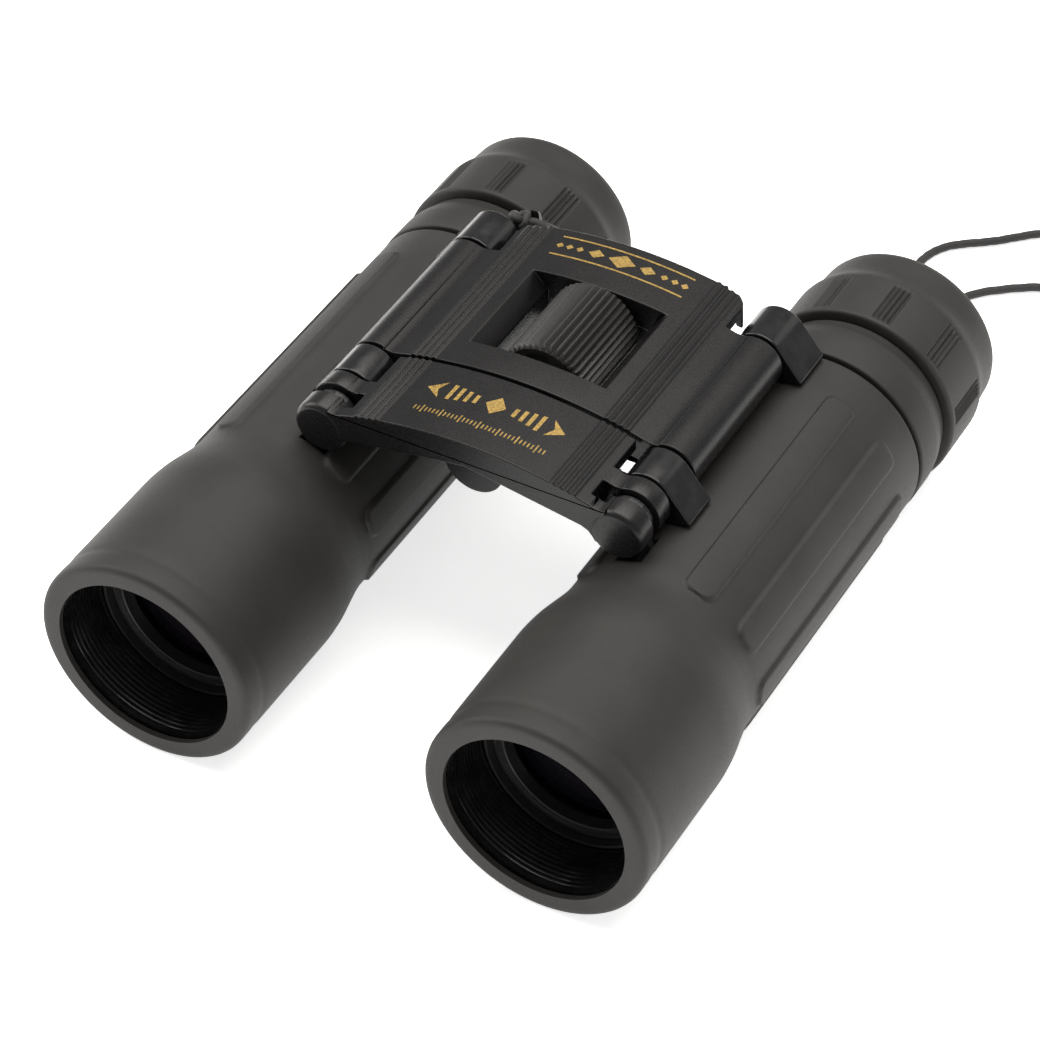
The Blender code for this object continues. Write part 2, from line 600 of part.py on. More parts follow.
def make_focus_drive(turn, slide):
    """Ribbed wheel on a threaded shaft, held by a spring clip, in a nut in the front bridge."""
    outline = []
    for k in range(WHEEL_RIBS * 2):
        angle = math.pi * k / WHEEL_RIBS
        radius = WHEEL_RADIUS - WHEEL_RIB_DEPTH * (k % 2)
        outline.append((radius * math.cos(angle), WHEEL_Z + radius * math.sin(angle)))
    wheel = place("focus_wheel", slab(outline, *WHEEL), PLASTIC, turn)
    combine(wheel, screw_bore(55.0, 78.0), "DIFFERENCE")
    axis = (0.0, WHEEL_Z)
    place("focus_screw", lathe([
        (SCREW[0], 0), (SCREW[0], 1.7), (SCREW[0] + 0.4, SCREW_RADIUS), (76.9, SCREW_RADIUS),
        (76.9, 1.6), (78.1, 1.6), (78.1, SCREW_RADIUS), (SCREW[1], SCREW_RADIUS), (SCREW[1], 0)],
        axis, SMALL_ROUND), STEEL, turn)
    place("shaft_clip", lathe([(CLIP[0], 1.95), (CLIP[0], 3.9), (CLIP[1], 3.9), (CLIP[1], 1.95)],
                              axis, SMALL_ROUND), STEEL, turn)
    place("focus_nut", lathe([(NUT[0], 2.4), (NUT[0], NUT_RADIUS), (NUT[1], NUT_RADIUS), (NUT[1], 2.4)],
                             axis, SMALL_ROUND), BRASS, slide)


def make_hinge_pin(side, hand):
    profile = [(HINGE_PIN[0], 0), (HINGE_PIN[0], PIN_RADIUS), (HINGE_PIN[1], PIN_RADIUS), (HINGE_PIN[1], 0)]
    place("hinge_pin_" + hand, lathe(profile, hinge_axis(side), SMALL_ROUND), STEEL)


def smooth_route(points, step):
    """Even points along a Catmull-Rom curve through the route points."""
    knots = [Vector(point) for point in points]
    knots = [2 * knots[0] - knots[1]] + knots + [2 * knots[-1] - knots[-2]]
    fine = []
    per_span = 24
    for index in range(1, len(knots) - 2):
        before, start, end, after = knots[index - 1:index + 3]
        for k in range(per_span):
            t = k / per_span
            fine.append(0.5 * (2 * start + (end - before) * t
                               + (2 * before - 5 * start + 4 * end - after) * t * t
                               + (3 * start - before - 3 * end + after) * t ** 3))
    fine.append(knots[-2])
    even = [fine[0]]
    walked = 0.0
    for here, there in zip(fine, fine[1:]):
        walked += (there - here).length
        if walked >= step:
            even.append(there)
            walked = 0.0
    if walked < step / 2.0:
        even.pop()
    even.append(fine[-1])
    return even


def make_strand(name, route):
    """One free stretch of the neck cord as a round tube with closed ends."""
    line = bpy.data.curves.new(name, "CURVE")
    line.dimensions = "3D"
    line.bevel_depth = CORD_DIAMETER / 2.0 * MM
    line.bevel_resolution = 2
    line.use_fill_caps = True
    points = smooth_route(route, CORD_STEP)
    spline = line.splines.new("POLY")
    spline.points.add(len(points) - 1)
    for target, point in zip(spline.points, points):
        target.co = (*(point * MM), 1.0)
    line.materials.append(NYLON)
    bpy.context.collection.objects.link(bpy.data.objects.new(name, line))


def make_coil():
    """The outer shape of the wound middle of the cord, lying flat."""
    half_width = COIL_TURNS_WIDE * CORD_DIAMETER / 2.0
    inner = COIL_MEAN_RADIUS - half_width
    outer = COIL_MEAN_RADIUS + half_width
    top = CORD_LIFT + COIL_TURNS_HIGH * CORD_DIAMETER
    bm = bmesh.new()
    rings = []
    for radius, z in ((inner, CORD_LIFT), (outer, CORD_LIFT), (outer, top), (inner, top)):
        ring = []
        for k in range(36):
            angle = 2 * math.pi * k / 36
            x = COIL_CENTRE[0] + radius * math.cos(angle)
            y = COIL_CENTRE[1] + radius * math.sin(angle)
            ring.append(bm.verts.new((x, y, z)))
        rings.append(ring)
    for index in range(4):
        here = rings[index]
        after = rings[(index + 1) % 4]
        for k in range(36):
            on = (k + 1) % 36
            bm.faces.new((here[k], here[on], after[on], after[k]))
    place("neck_cord_coil", bm, NYLON)


front_slide = pivot("front_bridge_slide", 0.0, y_at(FRONT_PLATE[0]), WHEEL_Z)
wheel_turn = pivot("focus_wheel_turn", 0.0, y_at(WHEEL[0]), WHEEL_Z)
make_rear_bridge()
make_front_bridge(front_slide)
make_focus_drive(wheel_turn, front_slide)
for side, hand in ((1, "left"), (-1, "right")):
    fold_pivot = pivot("fold_axis_" + hand, side * HINGE_X, 0.0, HINGE_Z)
    axis_x, axis_z = barrel_axis(side)
    focus_pivot = pivot("objective_slide_" + hand, axis_x, y_at(CELL[0]), axis_z)
    eyepiece_pivot = pivot("eyepiece_axis_" + hand, axis_x, y_at(EYE_RING[0]), axis_z)
    make_hinge_pin(side, hand)
    make_housing(side, hand, fold_pivot)
    make_armour(side, hand, fold_pivot)
    make_rear_cap(side, hand, fold_pivot)
    make_prisms(side, hand, fold_pivot)
    make_objective(side, hand, focus_pivot)
    make_eyepiece(side, hand, eyepiece_pivot, eyepiece_pivot)
make_strand("neck_cord_out", STRAND_OUT)
make_strand("neck_cord_back", STRAND_BACK)
make_coil()
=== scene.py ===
import math

import bmesh
import bpy
from mathutils import Matrix, Vector, noise


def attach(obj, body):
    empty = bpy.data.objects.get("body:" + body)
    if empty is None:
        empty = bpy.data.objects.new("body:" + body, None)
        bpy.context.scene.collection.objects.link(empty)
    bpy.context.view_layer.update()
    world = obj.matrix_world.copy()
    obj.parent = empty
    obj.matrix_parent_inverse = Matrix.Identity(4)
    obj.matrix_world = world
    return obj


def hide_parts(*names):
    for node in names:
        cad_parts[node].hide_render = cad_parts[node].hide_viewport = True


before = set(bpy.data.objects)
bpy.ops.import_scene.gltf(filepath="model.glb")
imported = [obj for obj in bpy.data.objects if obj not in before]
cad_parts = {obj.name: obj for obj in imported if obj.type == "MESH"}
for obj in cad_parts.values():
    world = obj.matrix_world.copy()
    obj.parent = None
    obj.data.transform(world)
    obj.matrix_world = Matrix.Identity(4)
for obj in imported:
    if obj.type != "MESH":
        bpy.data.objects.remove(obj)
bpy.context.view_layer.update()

# ---------------------------------------------------------------------------------------------
# Camera and setting. The binoculars lie flat on a white sweep under a big soft box, with the
# objectives towards the viewer. All pieces below are worked out in millimetres, measured from the
# middle of the footprint, and "station" is the distance behind the front rims.
MM = 0.001
LENGTH = 114.0


def y_at(station):
    return station - LENGTH / 2.0


camera_turn = math.radians(28.6)
camera_height = math.radians(42.88)
camera_roll = math.radians(-0.38)
back = Vector((math.sin(camera_turn) * math.cos(camera_height),
               -math.cos(camera_turn) * math.cos(camera_height), math.sin(camera_height)))
right = Vector((math.cos(camera_turn), math.sin(camera_turn), 0.0))
up = back.cross(right)
tilted_right = right * math.cos(camera_roll) + up * math.sin(camera_roll)
tilted_up = back.cross(tilted_right)
lens = bpy.data.cameras.new("view_camera")
lens.lens = 129.23
lens.sensor_width = 36.0
lens.shift_x = -0.13245
lens.shift_y = 0.02106
lens.clip_start = 0.02
lens.clip_end = 20.0
camera = bpy.data.objects.new("view_camera", lens)
placed = Matrix((tilted_right, tilted_up, back)).transposed().to_4x4()
placed.translation = Vector((0.205214, -0.342266, 0.376783))
camera.matrix_world = placed
bpy.context.collection.objects.link(camera)
bpy.context.scene.camera = camera

sweep_mesh = bpy.data.meshes.new("white_sweep")
sweep_mesh.from_pydata([(-4, -4, 0), (4, -4, 0), (4, 4, 0), (-4, 4, 0)], [], [(0, 1, 2, 3)])
sweep = bpy.data.objects.new("white_sweep", sweep_mesh)
bpy.context.collection.objects.link(sweep)
sweep_paper = bpy.data.materials.new("sweep_paper")
sweep_paper.use_nodes = True
paper = sweep_paper.node_tree.nodes["Principled BSDF"]
paper.inputs["Base Color"].default_value = (0.93, 0.93, 0.93, 1.0)
paper.inputs["Roughness"].default_value = 0.9
paper.inputs["Specular IOR Level"].default_value = 0.1
paper.inputs["Emission Color"].default_value = (1.0, 1.0, 1.0, 1.0)
paper.inputs["Emission Strength"].default_value = 0.7
sweep_mesh.materials.append(sweep_paper)


def soft_box(name, place, aim, width, height, power):
    """A rectangular soft light that points from place to aim, in metres."""
    light = bpy.data.lights.new(name, "AREA")
    light.shape = "RECTANGLE"
    light.size = width
    light.size_y = height
    light.energy = power
    light.color = (1.0, 0.972, 0.935)
    lamp = bpy.data.objects.new(name, light)
    direction = Vector(aim) - Vector(place)
    lamp.location = place
    lamp.rotation_euler = direction.to_track_quat("-Z", "Y").to_euler()
    bpy.context.collection.objects.link(lamp)


soft_box("top_box", (0.0, 0.25, 1.1), (0.0, 0.0, 0.0), 1.3, 1.0, 16.0)
soft_box("left_box", (-0.9, -0.1, 0.6), (0.0, 0.0, 0.02), 0.6, 0.8, 6.0)
soft_box("back_box", (0.35, 1.0, 0.55), (0.0, 0.0, 0.02), 0.9, 0.5, 1.2)
daylight = bpy.data.worlds.new("daylight")
daylight.use_nodes = True
daylight.node_tree.nodes["Background"].inputs["Color"].default_value = (1.0, 1.0, 1.0, 1.0)
daylight.node_tree.nodes["Background"].inputs["Strength"].default_value = 0.4
bpy.context.scene.world = daylight
bpy.context.scene.view_settings.view_transform = "Standard"

# ---------------------------------------------------------------------------------------------
# Neck cord. One loop of braided black nylon, 1.4 mm thick. Both ends go through the eyelet behind
# the bridge and are knotted there; the middle of the loop is wound in a flat coil with a tie.
CORD = 1.4
CORD_BOTTOM_LAYER = 1.13
strand_out = [
    (-18.7, 30.2, 37.9), (-17.6, 30.3, 38.0), (-12.0, 30.3, 37.3), (-6.5, 30.7, 36.0), (-2.4, 31.3, 33.5),
    (-0.9, 31.6, 29.0), (-0.9, 31.9, 20.0), (-0.9, 33.2, 9.5), (-0.8, 37.6, 2.9), (-0.4, 43.2, 0.78),
    (1.5, 49.6, 0.78), (6.0, 57.3, 0.78), (12.0, 65.0, 0.78), (17.0, 74.0, 0.78), (18.0, 84.0, 0.78),
    (17.2, 91.1, 0.78), (19.3, 96.9, 0.78), (25.6, 102.0, 0.78), (31.2, 107.1, 0.78), (35.8, 109.5, 0.78),
]
strand_back = [
    (-18.7, 29.6, 36.2), (-17.6, 29.5, 36.0), (-11.0, 29.2, 35.4), (-4.5, 29.2, 33.6), (-1.0, 29.3, 30.6),
    (0.85, 29.6, 26.6), (0.9, 30.2, 19.0), (0.9, 32.1, 8.5), (1.0, 36.2, 2.6), (1.6, 41.8, 0.78),
    (4.5, 49.1, 0.78), (10.0, 57.8, 0.78), (16.5, 66.0, 0.78), (22.0, 76.9, 0.78), (27.6, 86.9, 0.78),
    (31.5, 90.9, 0.78), (36.7, 94.4, 0.78), (41.0, 95.6, 0.78),
]
coil_centre = Vector((50.0, 105.0))
coil_inner = 5.6
coil_outer = 9.8
turns_each_layer = 3.0
coil_layers = 4
coil_start = 143.0


def coil_route():
    """Four flat layers of turns, inward and outward by turns, then down the outside to the floor."""
    points = []
    per_turn = 24
    whole = int(turns_each_layer * per_turn)
    angle = coil_start
    for layer in range(coil_layers):
        inward = layer % 2 == 0
        for k in range(whole):
            share = k / whole
            radius = coil_outer + (coil_inner - coil_outer) * (share if inward else 1.0 - share)
            rise = max(0.0, (share - 0.93) / 0.07) * CORD if layer < coil_layers - 1 else 0.0
            z = CORD_BOTTOM_LAYER + layer * CORD + rise
            turned_to = math.radians(angle)
            points.append((coil_centre[0] + radius * math.cos(turned_to),
                           coil_centre[1] + radius * math.sin(turned_to), z))
            angle -= 360.0 / per_turn
    last = CORD_BOTTOM_LAYER + (coil_layers - 1) * CORD
    leave = -90.0 - 360.0 * math.ceil((-90.0 - angle) / 360.0 - 1e-6)
    while leave > angle - 150.0:
        leave -= 360.0
    steps = 20
    begin = angle
    for k in range(steps + 1):
        share = k / steps
        eased = share * share * (3 - 2 * share)
        radius = coil_outer + (CORD + 0.15) * min(1.0, 2.2 * share)
        turned_to = math.radians(begin + (leave - begin) * share)
        points.append((coil_centre[0] + radius * math.cos(turned_to),
                       coil_centre[1] + radius * math.sin(turned_to), last + (0.75 - last) * eased))
    return points


def smooth_line(points, step):
    """Even points, a step apart, along a Catmull-Rom curve."""
    knots = [Vector(point) for point in points]
    knots = [2 * knots[0] - knots[1]] + knots + [2 * knots[-1] - knots[-2]]
    fine = []
    for index in range(1, len(knots) - 2):
        before, start, end, after = knots[index - 1:index + 3]
        spans = max(4, int((end - start).length / step * 2.5))
        for k in range(spans):
            t = k / spans
            fine.append(0.5 * (2 * start + (end - before) * t
                               + (2 * before - 5 * start + 4 * end - after) * t * t
                               + (3 * start - before - 3 * end + after) * t ** 3))
    fine.append(knots[-2])
    total = sum((b - a).length for a, b in zip(fine, fine[1:]))
    count = max(2, round(total / step))
    spacing = total / count
    even = [fine[0]]
    walked = 0.0
    for here, there in zip(fine, fine[1:]):
        length = (there - here).length
        while walked + length >= spacing and len(even) < count:
            share = (spacing - walked) / length
            here = here.lerp(there, share)
            even.append(here.copy())
            length = (there - here).length
            walked = 0.0
        walked += length
    even.append(fine[-1])
    return even, total


def braided_tube(name, line, thickness, finish, strands=5, lay=3.4, relief=0.055, sides=12):
    """A round cord whose surface bulges where the plaited yarns cross; line is in millimetres."""
    bm = bmesh.new()
    around_layer = bm.loops.layers.uv.new("along_and_around")
    forward = (line[1] - line[0]).normalized()
    side = forward.orthogonal().normalized()
    rings = []
    walked = 0.0
    along = []
    for index, point in enumerate(line):
        if index:
            walked += (point - line[index - 1]).length
        ahead = line[min(index + 1, len(line) - 1)] - line[max(index - 1, 0)]
        ahead.normalize()
        side = (side - ahead * side.dot(ahead)).normalized()
        other = ahead.cross(side)
        ring = []
        for k in range(sides):
            turn = 2 * math.pi * k / sides
            wave = math.cos(strands * (turn + 2 * math.pi * walked / lay / strands))
            cross = math.cos(strands * (turn - 2 * math.pi * walked / lay / strands))
            bulge = thickness / 2.0 - relief + relief * max(wave, cross)
            offset = side * math.cos(turn) * bulge + other * math.sin(turn) * bulge
            ring.append(bm.verts.new((point + offset) * MM))
        rings.append(ring)
        along.append(walked)
    for index in range(len(rings) - 1):
        for k in range(sides):
            on = (k + 1) % sides
            face = bm.faces.new((rings[index][k], rings[index][on], rings[index + 1][on], rings[index + 1][k]))
            corners = ((along[index], k), (along[index], k + 1), (along[index + 1], k + 1),
                       (along[index + 1], k))
            for loop, (length, turn) in zip(face.loops, corners):
                loop[around_layer].uv = (length / 10.0, turn / sides)
    bm.faces.new(list(reversed(rings[0])))
    bm.faces.new(rings[-1])
    bmesh.ops.recalc_face_normals(bm, faces=bm.faces)
    mesh = bpy.data.meshes.new(name)
    bm.to_mesh(mesh)
    bm.free()
    mesh.shade_smooth()
    mesh.materials.append(finish)
    tube = bpy.data.objects.new(name, mesh)
    bpy.context.collection.objects.link(tube)
    return tube


def principled(name, colour, roughness):
    """A material, its node tree's node maker and its main shader."""
    made = bpy.data.materials.new(name)
    made.use_nodes = True
    shader = made.node_tree.nodes["Principled BSDF"]
    shader.inputs["Base Color"].default_value = (*colour, 1.0)
    shader.inputs["Roughness"].default_value = roughness
    return made, made.node_tree, shader


def speckle(tree, size_mm, detail=3.0):
    """Noise with features of about size_mm, in the piece's own space."""
    place = tree.nodes.new("ShaderNodeTexCoord")
    pattern = tree.nodes.new("ShaderNodeTexNoise")
    pattern.inputs["Scale"].default_value = 1.0 / (size_mm * MM)
    pattern.inputs["Detail"].default_value = detail
    tree.links.new(place.outputs["Object"], pattern.inputs["Vector"])
    return pattern


def spread(tree, source, low, high):
    """Maps the middle of a noise to a range of values."""
    scale = tree.nodes.new("ShaderNodeMapRange")
    scale.inputs["From Min"].default_value = 0.3
    scale.inputs["From Max"].default_value = 0.7
    scale.inputs["To Min"].default_value = low
    scale.inputs["To Max"].default_value = high
    tree.links.new(source, scale.inputs["Value"])
    return scale.outputs["Result"]


def two_tones(tree, source, dark, light):
    """A colour between two tones, by a noise."""
    ramp = tree.nodes.new("ShaderNodeValToRGB")
    ramp.color_ramp.elements[0].position = 0.32
    ramp.color_ramp.elements[1].position = 0.68
    ramp.color_ramp.elements[0].color = (*dark, 1.0)
    ramp.color_ramp.elements[1].color = (*light, 1.0)
    tree.links.new(source, ramp.inputs["Fac"])
    return ramp.outputs["Color"]


def dents(tree, shader, source, depth_mm, strength=1.0, under=None):
    """A height field on the shader's normal."""
    bump = tree.nodes.new("ShaderNodeBump")
    bump.inputs["Distance"].default_value = depth_mm * MM
    bump.inputs["Strength"].default_value = strength
    tree.links.new(source, bump.inputs["Height"])
    if under:
        tree.links.new(under, bump.inputs["Normal"])
    tree.links.new(bump.outputs["Normal"], shader.inputs["Normal"])
    return bump.outputs["Normal"]


braid, braid_tree, braid_shader = principled("braided_nylon", (0.01, 0.01, 0.0105), 0.62)
yarn_tone = speckle(braid_tree, 0.45, 2.0)
braid_tree.links.new(two_tones(braid_tree, yarn_tone.outputs["Fac"], (0.005, 0.005, 0.0055),
                               (0.03, 0.029, 0.028)), braid_shader.inputs["Base Color"])
braid_tree.links.new(spread(braid_tree, yarn_tone.outputs["Fac"], 0.45, 0.8),
                     braid_shader.inputs["Roughness"])
braid_uv = braid_tree.nodes.new("ShaderNodeTexCoord")
filaments = braid_tree.nodes.new("ShaderNodeTexWave")
filaments.bands_direction = "DIAGONAL"
filaments.inputs["Scale"].default_value = 14.0
filaments.inputs["Distortion"].default_value = 1.0
braid_tree.links.new(braid_uv.outputs["UV"], filaments.inputs["Vector"])
dents(braid_tree, braid_shader, filaments.outputs["Fac"], 0.04, 0.6)
braid_shader.inputs["Sheen Weight"].default_value = 0.05

route = strand_out + coil_route() + list(reversed(strand_back))
cord_line, cord_length = smooth_line(route, 0.34)
for point in cord_line:
    point.z = max(point.z, CORD / 2.0 + 0.03)
neck_cord = braided_tube("neck_cord", cord_line, CORD, braid)
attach(neck_cord, "bridge")
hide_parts("neck_cord_out", "neck_cord_back", "neck_cord_coil")


def knot(name, centre, size):
    """An overhand knot drawn tight, with its cut end standing out."""
    loops = []
    for k in range(37):
        t = 2 * math.pi * k / 36 * 0.94
        x = math.sin(t) + 2 * math.sin(2 * t)
        z = math.cos(t) - 2 * math.cos(2 * t)
        y = -math.sin(3 * t)
        loops.append((centre[0] + size * 0.36 * x, centre[1] + size * 0.62 * y, centre[2] + size * 0.36 * z))
    line, _ = smooth_line(loops, 0.34)
    return braided_tube(name, line, CORD * 0.94, braid)


knot_out = knot("cord_knot_out", (-20.6, 30.3, 37.4), 1.25)
knot_back = knot("cord_knot_back", (-20.6, 29.6, 34.9), 1.25)
tie_line = []
for k in range(33):
    t = 2 * math.pi * k / 32
    away = coil_inner / 2 + coil_outer / 2 + 3.15 * max(-1.0, min(1.0, 1.25 * math.cos(t)))
    height = 0.5 + 2.83 + 3.1 * max(-1.0, min(1.0, 1.25 * math.sin(t)))
    lean = math.radians(-20.0)
    tie_line.append((coil_centre[0] + away * math.cos(lean), coil_centre[1] + away * math.sin(lean), height))
tie_path, _ = smooth_line(tie_line, 0.6)
coil_tie = braided_tube("coil_tie", tie_path, 0.55, braid, relief=0.02, sides=8)
for piece in (knot_out, knot_back, coil_tie):
    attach(piece, "bridge")

# ---------------------------------------------------------------------------------------------
# Rear bridge. The main moulding of black ABS: an arched cover with four fine ribs along each side,
# a window for the focus wheel, a long knuckle along each edge and a cord eyelet at the back.
# It is moulded in one piece; the hinge pins go through its knuckles.
HINGE_X = 23.5
HINGE_Z = 35.2
KNUCKLE_RADIUS = 4.1
PIN_BORE = 1.65
WHEEL_Z = 36.2
REAR_ARCH = (72.0, 41.8)
FRONT_ARCH = (66.0, 42.2)
PLATE_HALF_WIDTH = 22.1
VALLEY = [(22.1, 38.95), (22.0, 39.03), (21.7, 38.94), (21.4, 38.87), (21.0, 38.84), (20.6, 38.86),
          (20.1, 38.94)]
PLATE_THICKNESS = 1.7
NOTCH_X = 18.9
REAR_NOTCH_X = 18.55
RIB_PLACES = (13.9, 15.0, 16.1, 17.2)
RIB_WIDTH = 0.84
RIB_HEIGHT = 0.24


def arch(x, shape, drop=0.0):
    """Height of a plate's top; shape is the arch's radius and crown."""
    radius, crown = shape
    return crown - radius + math.sqrt((radius - drop) ** 2 - x * x)


PLAIN_SKIRT = [(PLATE_HALF_WIDTH, 34.3)]
WEBBED_SKIRT = [(18.3, 34.9), (19.3, 34.4), (19.9, 33.7), (20.4, 32.9), (21.6, 32.9), (PLATE_HALF_WIDTH, 34.3)]


def ribbed_section(shape, skirt):
    """Section of a plate in (x, z): skirt, arched top and the two groups of rounded ribs."""
    across = [2.0 * k for k in range(-4, 5)] + [-19.6, -18.2, -12.4, -9.6, 9.6, 12.4, 18.2, 19.6]
    for place in RIB_PLACES:
        for k in range(-4, 5):
            across += [place + RIB_WIDTH / 2 * k / 4.0, -place + RIB_WIDTH / 2 * k / 4.0]
    top = []
    for x in sorted(set(across), reverse=True):
        nearest = min(abs(abs(x) - place) for place in RIB_PLACES)
        rise = max(0.0, math.cos(math.pi * min(1.0, nearest / RIB_WIDTH)))
        top.append((x, arch(x, shape) + RIB_HEIGHT * rise))
    side = skirt + VALLEY
    return [(0.0, 38.0)] + side + top + [(-x, z) for x, z in reversed(side)]


def under_arch(x0, x1, shape, bottom, drop, steps):
    """A pocket's section: flat bottom and arched roof, at a depth below the plate's top."""
    points = [(x0, bottom), (x1, bottom)]
    for k in range(steps + 1):
        x = x1 + (x0 - x1) * k / steps
        points.append((x, arch(x, shape, drop)))
    return points


def circle(centre, radius, sides):
    return [(centre[0] + radius * math.cos(2 * math.pi * k / sides),
             centre[1] + radius * math.sin(2 * math.pi * k / sides)) for k in range(sides)]


def extruded(outline, start, end, end_outline=None, along="Y"):
    """A prism from a closed outline: (x, z) along Y, (x, station) along Z or (station, z) along X."""
    bm = bmesh.new()

    def corner(a, b, depth):
        if along == "Y":
            return Vector((a, y_at(depth), b))
        if along == "Z":
            return Vector((a, y_at(b), depth))
        return Vector((depth, y_at(a), b))

    near = [bm.verts.new(corner(a, b, start)) for a, b in outline]
    far = [bm.verts.new(corner(a, b, end)) for a, b in end_outline or outline]
    bm.faces.new(near)
    bm.faces.new(list(reversed(far)))
    for index in range(len(outline)):
        on = (index + 1) % len(outline)
        bm.faces.new((near[index], far[index], far[on], near[on]))
    bmesh.ops.recalc_face_normals(bm, faces=bm.faces)
    return bm


def turned(profile, centre, sides=96, closed=True):
    """A body of revolution about a line along Y, from (station, radius) points."""
    bm = bmesh.new()
    rings = []
    for station, radius in profile:
        if radius < 1e-6:
            rings.append([bm.verts.new((centre[0], y_at(station), centre[1]))])
        else:
            rings.append([bm.verts.new((centre[0] + radius * math.cos(2 * math.pi * k / sides), y_at(station),
                                        centre[1] + radius * math.sin(2 * math.pi * k / sides)))
                          for k in range(sides)])
    count = len(rings)
    for index in range(count if closed else count - 1):
        here = rings[index]
        after = rings[(index + 1) % count]
        if len(here) == 1 and len(after) == 1:
            continue
        for k in range(sides):
            corners = []
            for vert in (here[k % len(here)], here[(k + 1) % len(here)],
                         after[(k + 1) % len(after)], after[k % len(after)]):
                if vert not in corners:
                    corners.append(vert)
            bm.faces.new(corners)
    bmesh.ops.recalc_face_normals(bm, faces=bm.faces)
    return bm


def softened(profile, fillet, steps=3, closed=True):
    """The same profile with its corners rounded; no fillet takes over 40% of an edge."""
    count = len(profile)
    result = []
    for index, (a, b) in enumerate(profile):
        here = Vector((a, b))
        last_end = not closed and index in (0, count - 1)
        if b < 1e-6 or last_end:
            result.append((a, b))
            continue
        back_edge = Vector(profile[index - 1]) - here
        on_edge = Vector(profile[(index + 1) % count]) - here
        reach = min(fillet, 0.4 * back_edge.length, 0.4 * on_edge.length)
        entry = here + back_edge.normalized() * reach
        leave = here + on_edge.normalized() * reach
        for k in range(steps + 1):
            t = k / steps
            point = entry.lerp(here, t).lerp(here.lerp(leave, t), t)
            result.append((point.x, point.y))
    return result


def built(name, bm, finish, body, crease=40.0):
    """A finished mesh piece from millimetre geometry, riding on a body."""
    bmesh.ops.scale(bm, vec=(MM, MM, MM), verts=bm.verts)
    mesh = bpy.data.meshes.new(name)
    bm.to_mesh(mesh)
    bm.free()
    mesh.shade_smooth()
    mesh.set_sharp_from_angle(angle=math.radians(crease))
    mesh.materials.append(finish)
    thing = bpy.data.objects.new(name, mesh)
    bpy.context.collection.objects.link(thing)
    if body:
        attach(thing, body)
    return thing


def shaped(name, blank, joins, cuts, edge, finish, body):
    """A moulding: a blank with solids joined, others cut away and all sharp edges broken."""
    thing = built(name, blank, finish, body)
    guides = []
    for operation, solids in (("UNION", joins), ("DIFFERENCE", cuts)):
        for solid in solids:
            guide = built(name + "_guide", solid, finish, None)
            guides.append(guide)
            step = thing.modifiers.new("shape", "BOOLEAN")
            step.operation = operation
            step.solver = "EXACT"
            step.object = guide
    weld = thing.modifiers.new("weld", "WELD")
    weld.merge_threshold = 0.02 * MM
    if edge:
        rounding = thing.modifiers.new("edges", "BEVEL")
        rounding.width = edge * MM
        rounding.segments = 2
        rounding.limit_method = "ANGLE"
        rounding.angle_limit = math.radians(34.0)
        rounding.use_clamp_overlap = False
        level = thing.modifiers.new("level", "WEIGHTED_NORMAL")
        level.keep_sharp = False
        level.weight = 80
    graph = bpy.context.evaluated_depsgraph_get()
    baked = bpy.data.meshes.new_from_object(thing.evaluated_get(graph), depsgraph=graph)
    thing.modifiers.clear()
    thing.data = baked
    baked.materials.clear()
    baked.materials.append(finish)
    for guide in guides:
        bpy.data.objects.remove(guide, do_unlink=True)
    return thing


moulded, moulded_tree, moulded_shader = principled("moulded_black_plastic", (0.007, 0.0065, 0.0066), 0.34)
plastic_tone = speckle(moulded_tree, 6.0, 4.0)
moulded_tree.links.new(two_tones(moulded_tree, plastic_tone.outputs["Fac"], (0.0055, 0.005, 0.0051),
                                 (0.0088, 0.0081, 0.0082)), moulded_shader.inputs["Base Color"])
plastic_grain = speckle(moulded_tree, 0.22, 3.0)
moulded_tree.links.new(spread(moulded_tree, plastic_grain.outputs["Fac"], 0.24, 0.36),
                       moulded_shader.inputs["Roughness"])
dents(moulded_tree, moulded_shader, plastic_grain.outputs["Fac"], 0.01, 0.22)
moulded_shader.inputs["Specular IOR Level"].default_value = 0.34

